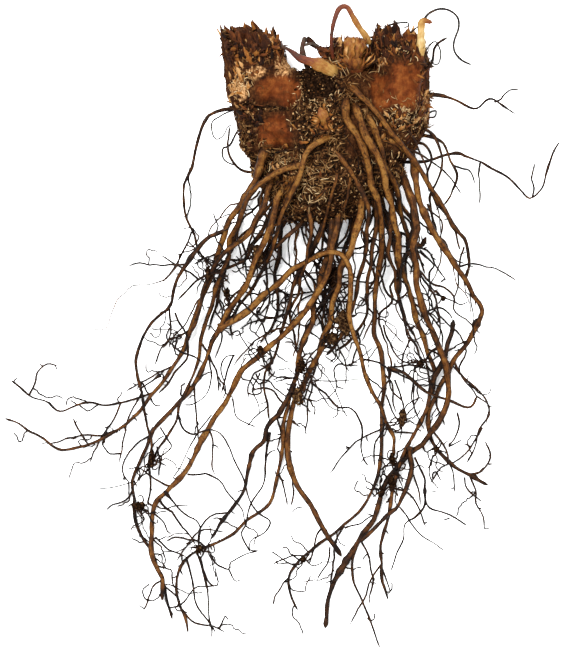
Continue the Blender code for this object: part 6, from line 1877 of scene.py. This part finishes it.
def shoot_finish(s):
    """Shoots and buds: dark string, brown, red-brown, orange, gold, pale yellow and cream, as the tone rises."""
    f = Finish("shoot_flesh", 0.5, 0.15)
    streak = f.mottle(f.grain(), 0.35 * MM, 4, 0.7)
    cloud = f.mottle(f.place(), 1.6 * MM, 5)
    share = f.kept("tone") + (streak - 0.5) * 0.40 + (cloud - 0.5) * 0.45
    colour = f.ramp(share, (0.03, (0.0037, 0.00185, 0.00148)), (0.12, (0.0281, 0.0163, 0.00888)),
                    (0.20, (0.0266, 0.00518, 0.00185)), (0.36, s.red_shoot), (0.54, (0.1221, 0.0459, 0.00629)),
                    (0.76, s.pale_shoot), (0.97, (0.3108, 0.2442, 0.1258)))
    shader = f.shader.inputs
    shader["Subsurface Weight"].default_value = 0.10
    shader["Subsurface Radius"].default_value = (0.0012, 0.0006, 0.0003)
    return f.finished(colour, 0.45 + 0.25 * cloud, streak, 0.0003, 0.7)


def make_stage(settings):
    """The floor under the plant, the soft lights and the camera straight above."""
    size = settings.floor_size / 2
    mesh = bpy.data.meshes.new("floor")
    mesh.from_pydata([(-size, -size, 0), (size, -size, 0), (size, size, 0), (-size, size, 0)], [], [(0, 1, 2, 3)])
    floor = bpy.data.objects.new("floor", mesh)
    bpy.context.scene.collection.objects.link(floor)
    f = Finish("floor_white", 0.9, 0.1)
    f.shader.inputs["Emission Strength"].default_value = settings.floor_glow
    mesh.materials.append(f.finished(settings.floor_colour))
    floor.location.z = 0
    for name, place, power, width in LIGHTS:
        lamp = bpy.data.lights.new(name, "AREA")
        lamp.energy, lamp.size = power * settings.light, width
        light = bpy.data.objects.new(name, lamp)
        light.location = place
        light.rotation_euler = (Vector(AIM) - Vector(place)).to_track_quat("-Z", "Y").to_euler()
        bpy.context.scene.collection.objects.link(light)
    world = bpy.data.worlds.new("studio")
    world.use_nodes = True
    world.node_tree.nodes["Background"].inputs["Color"].default_value = (1, 1, 1, 1)
    world.node_tree.nodes["Background"].inputs["Strength"].default_value = settings.sky
    scene = bpy.context.scene
    scene.world = world
    scene.view_settings.view_transform = "Standard"
    lens = bpy.data.cameras.new("camera")
    lens.sensor_width = 36
    lens.lens = lens.sensor_width * (CAMERA_HEIGHT - EYE_LEVEL) / FRAME_HEIGHT
    lens.clip_end = 20
    camera = bpy.data.objects.new("camera", lens)
    camera.location = (AIM[0], AIM[1], CAMERA_HEIGHT)
    scene.collection.objects.link(camera)
    scene.camera = camera


class AstilbeSettings(bpy.types.PropertyGroup):
    """The sizes and colours that a user would change."""
    crown_detail: FloatProperty(
        name="Crown detail", description="Size of the faces of the crown", default=0.42 * MM, min=0.2 * MM,
        unit="LENGTH", precision=5)
    bark_relief: FloatProperty(
        name="Bark relief", description="Height of the crown's relief", default=0.9 * MM, unit="LENGTH",
        precision=5)
    thin_leaf_bases: IntProperty(
        name="Thin leaf bases", description="Thin torn leaf bases for each thick one", default=5, min=0)
    root_detail: FloatProperty(
        name="Root detail", description="Distance between the rings of a root", default=1.1 * MM, unit="LENGTH",
        precision=5)
    sway: FloatProperty(
        name="Sway", description="How far a root strays from its smooth course", default=0.46 * MM,
        unit="LENGTH", precision=5)
    rootlet_radius: FloatVectorProperty(
        name="Rootlet radius", description="Radius of a rootlet at its foot and at its tip", size=2,
        default=(0.34 * MM, 0.24 * MM), unit="LENGTH", precision=5)
    web: IntProperty(name="Web", description="Thin roots below the crown", default=34, min=1)
    hairs: IntProperty(name="Hairs", description="Fine roots scattered along the roots", default=180, min=0)
    stubs: IntProperty(name="Stubs", description="Short stubs scattered along the roots", default=420, min=0)
    crumbs: IntProperty(name="Crumbs", description="Crumbs of soil on the crown", default=3200, min=0)
    straws: IntProperty(name="Straws", description="Straws all over the crown", default=650, min=0)
    smooth_bark: FloatVectorProperty(
        name="Smooth bark", description="Colour of the smooth patches", subtype="COLOR",
        default=(0.0636, 0.0148, 0.00311))
    pale_bark: FloatVectorProperty(
        name="Pale bark", description="Colour of the pale patches", subtype="COLOR", default=(0.39, 0.222, 0.098))
    leaf_base: FloatVectorProperty(
        name="Leaf base", description="Colour of the torn leaf bases", subtype="COLOR",
        default=(0.0651, 0.0185, 0.00407))
    soil_dark: FloatVectorProperty(
        name="Soil", description="Colour of the darkest soil", subtype="COLOR", default=(0.00192, 0.00104, 0.00067))
    straw: FloatVectorProperty(
        name="Straw", description="Colour of the straw", subtype="COLOR", default=(0.1390, 0.0760, 0.0275))
    golden_root: FloatVectorProperty(
        name="Golden root", description="Colour of the thick roots", subtype="COLOR",
        default=(0.082, 0.0318, 0.0056))
    brown_root: FloatVectorProperty(
        name="Brown root", description="Colour of the thinner roots", subtype="COLOR",
        default=(0.0200, 0.0070, 0.0017))
    red_shoot: FloatVectorProperty(
        name="Red shoot", description="Colour of the red parts of the shoots", subtype="COLOR",
        default=(0.0725, 0.0141, 0.0037))
    pale_shoot: FloatVectorProperty(
        name="Pale shoot", description="Colour of the pale parts of the shoots", subtype="COLOR",
        default=(0.2146, 0.1258, 0.0333))
    floor_size: FloatProperty(
        name="Floor size", description="Width of the floor", default=6.0, unit="LENGTH")
    floor_colour: FloatVectorProperty(
        name="Floor", description="Colour of the floor", subtype="COLOR", default=(0.93, 0.93, 0.93))
    floor_glow: FloatProperty(
        name="Floor glow", description="Light that comes up from the floor", default=0.25, min=0)
    light: FloatProperty(name="Light", description="Strength of the lights", default=1.0, min=0)
    sky: FloatProperty(name="Sky", description="Strength of the light from all round", default=1.25, min=0)


class BuildCrown(bpy.types.Operator):
    """Makes the woody crown, with its bark, pale patches and soil."""
    bl_idname = "astilbe.crown"
    bl_label = "Woody crown"

    def execute(self, context):
        make_crown(context.scene.astilbe)
        return {"FINISHED"}


class BuildLeafBases(bpy.types.Operator):
    """Makes the torn leaf bases round the rims of the knobs."""
    bl_idname = "astilbe.leaf_bases"
    bl_label = "Torn leaf bases"

    def execute(self, context):
        make_leaf_bases(context.scene.astilbe)
        return {"FINISHED"}


class BuildPeat(bpy.types.Operator):
    """Makes the clods of peat and the clots of soil."""
    bl_idname = "astilbe.peat"
    bl_label = "Peat"

    def execute(self, context):
        make_peat(context.scene.astilbe)
        return {"FINISHED"}


class BuildSoil(bpy.types.Operator):
    """Scatters crumbs of soil and short straws over the crown."""
    bl_idname = "astilbe.soil"
    bl_label = "Crumbs and straw"

    def execute(self, context):
        make_soil(context.scene.astilbe)
        return {"FINISHED"}


class BuildRoots(bpy.types.Operator):
    """Makes the roots with their branches and rootlets."""
    bl_idname = "astilbe.roots"
    bl_label = "Roots"

    def execute(self, context):
        make_roots(context.scene.astilbe)
        return {"FINISHED"}


class BuildThreads(bpy.types.Operator):
    """Makes the finest roots, hairs and stubs."""
    bl_idname = "astilbe.threads"
    bl_label = "Fine roots"

    def execute(self, context):
        make_threads(context.scene.astilbe)
        return {"FINISHED"}


class BuildShoots(bpy.types.Operator):
    """Makes the shoots, the buds and the old stalk."""
    bl_idname = "astilbe.shoots"
    bl_label = "Shoots and buds"

    def execute(self, context):
        make_shoots(context.scene.astilbe)
        return {"FINISHED"}


class BuildStage(bpy.types.Operator):
    """Sets the floor, the lights and the camera."""
    bl_idname = "astilbe.stage"
    bl_label = "Floor, lights and camera"

    def execute(self, context):
        make_stage(context.scene.astilbe)
        return {"FINISHED"}


STEPS = (BuildCrown, BuildLeafBases, BuildPeat, BuildSoil, BuildRoots, BuildThreads, BuildShoots, BuildStage)


class AstilbePanel(bpy.types.Panel):
    """Lists the plant's settings and the steps that build it."""
    bl_idname = "VIEW3D_PT_astilbe"
    bl_label = "Bare-root astilbe"
    bl_space_type = "VIEW_3D"
    bl_region_type = "UI"
    bl_category = "Astilbe"

    def draw(self, context):
        settings = context.scene.astilbe
        for name in settings.bl_rna.properties.keys():
            if name not in ("rna_type", "name"):
                self.layout.prop(settings, name)
        for step in STEPS:
            self.layout.operator(step.bl_idname)


def register():
    for kind in (AstilbeSettings,) + STEPS + (AstilbePanel,):
        bpy.utils.register_class(kind)
    bpy.types.Scene.astilbe = PointerProperty(type=AstilbeSettings)


def unregister():
    del bpy.types.Scene.astilbe
    for kind in reversed((AstilbeSettings,) + STEPS + (AstilbePanel,)):
        bpy.utils.unregister_class(kind)


def main():
    register()
    bpy.ops.astilbe.crown()
    bpy.ops.astilbe.leaf_bases()
    bpy.ops.astilbe.peat()
    bpy.ops.astilbe.soil()
    bpy.ops.astilbe.roots()
    bpy.ops.astilbe.threads()
    bpy.ops.astilbe.shoots()
    bpy.ops.astilbe.stage()
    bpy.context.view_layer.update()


if __name__ == "__main__":
    main()
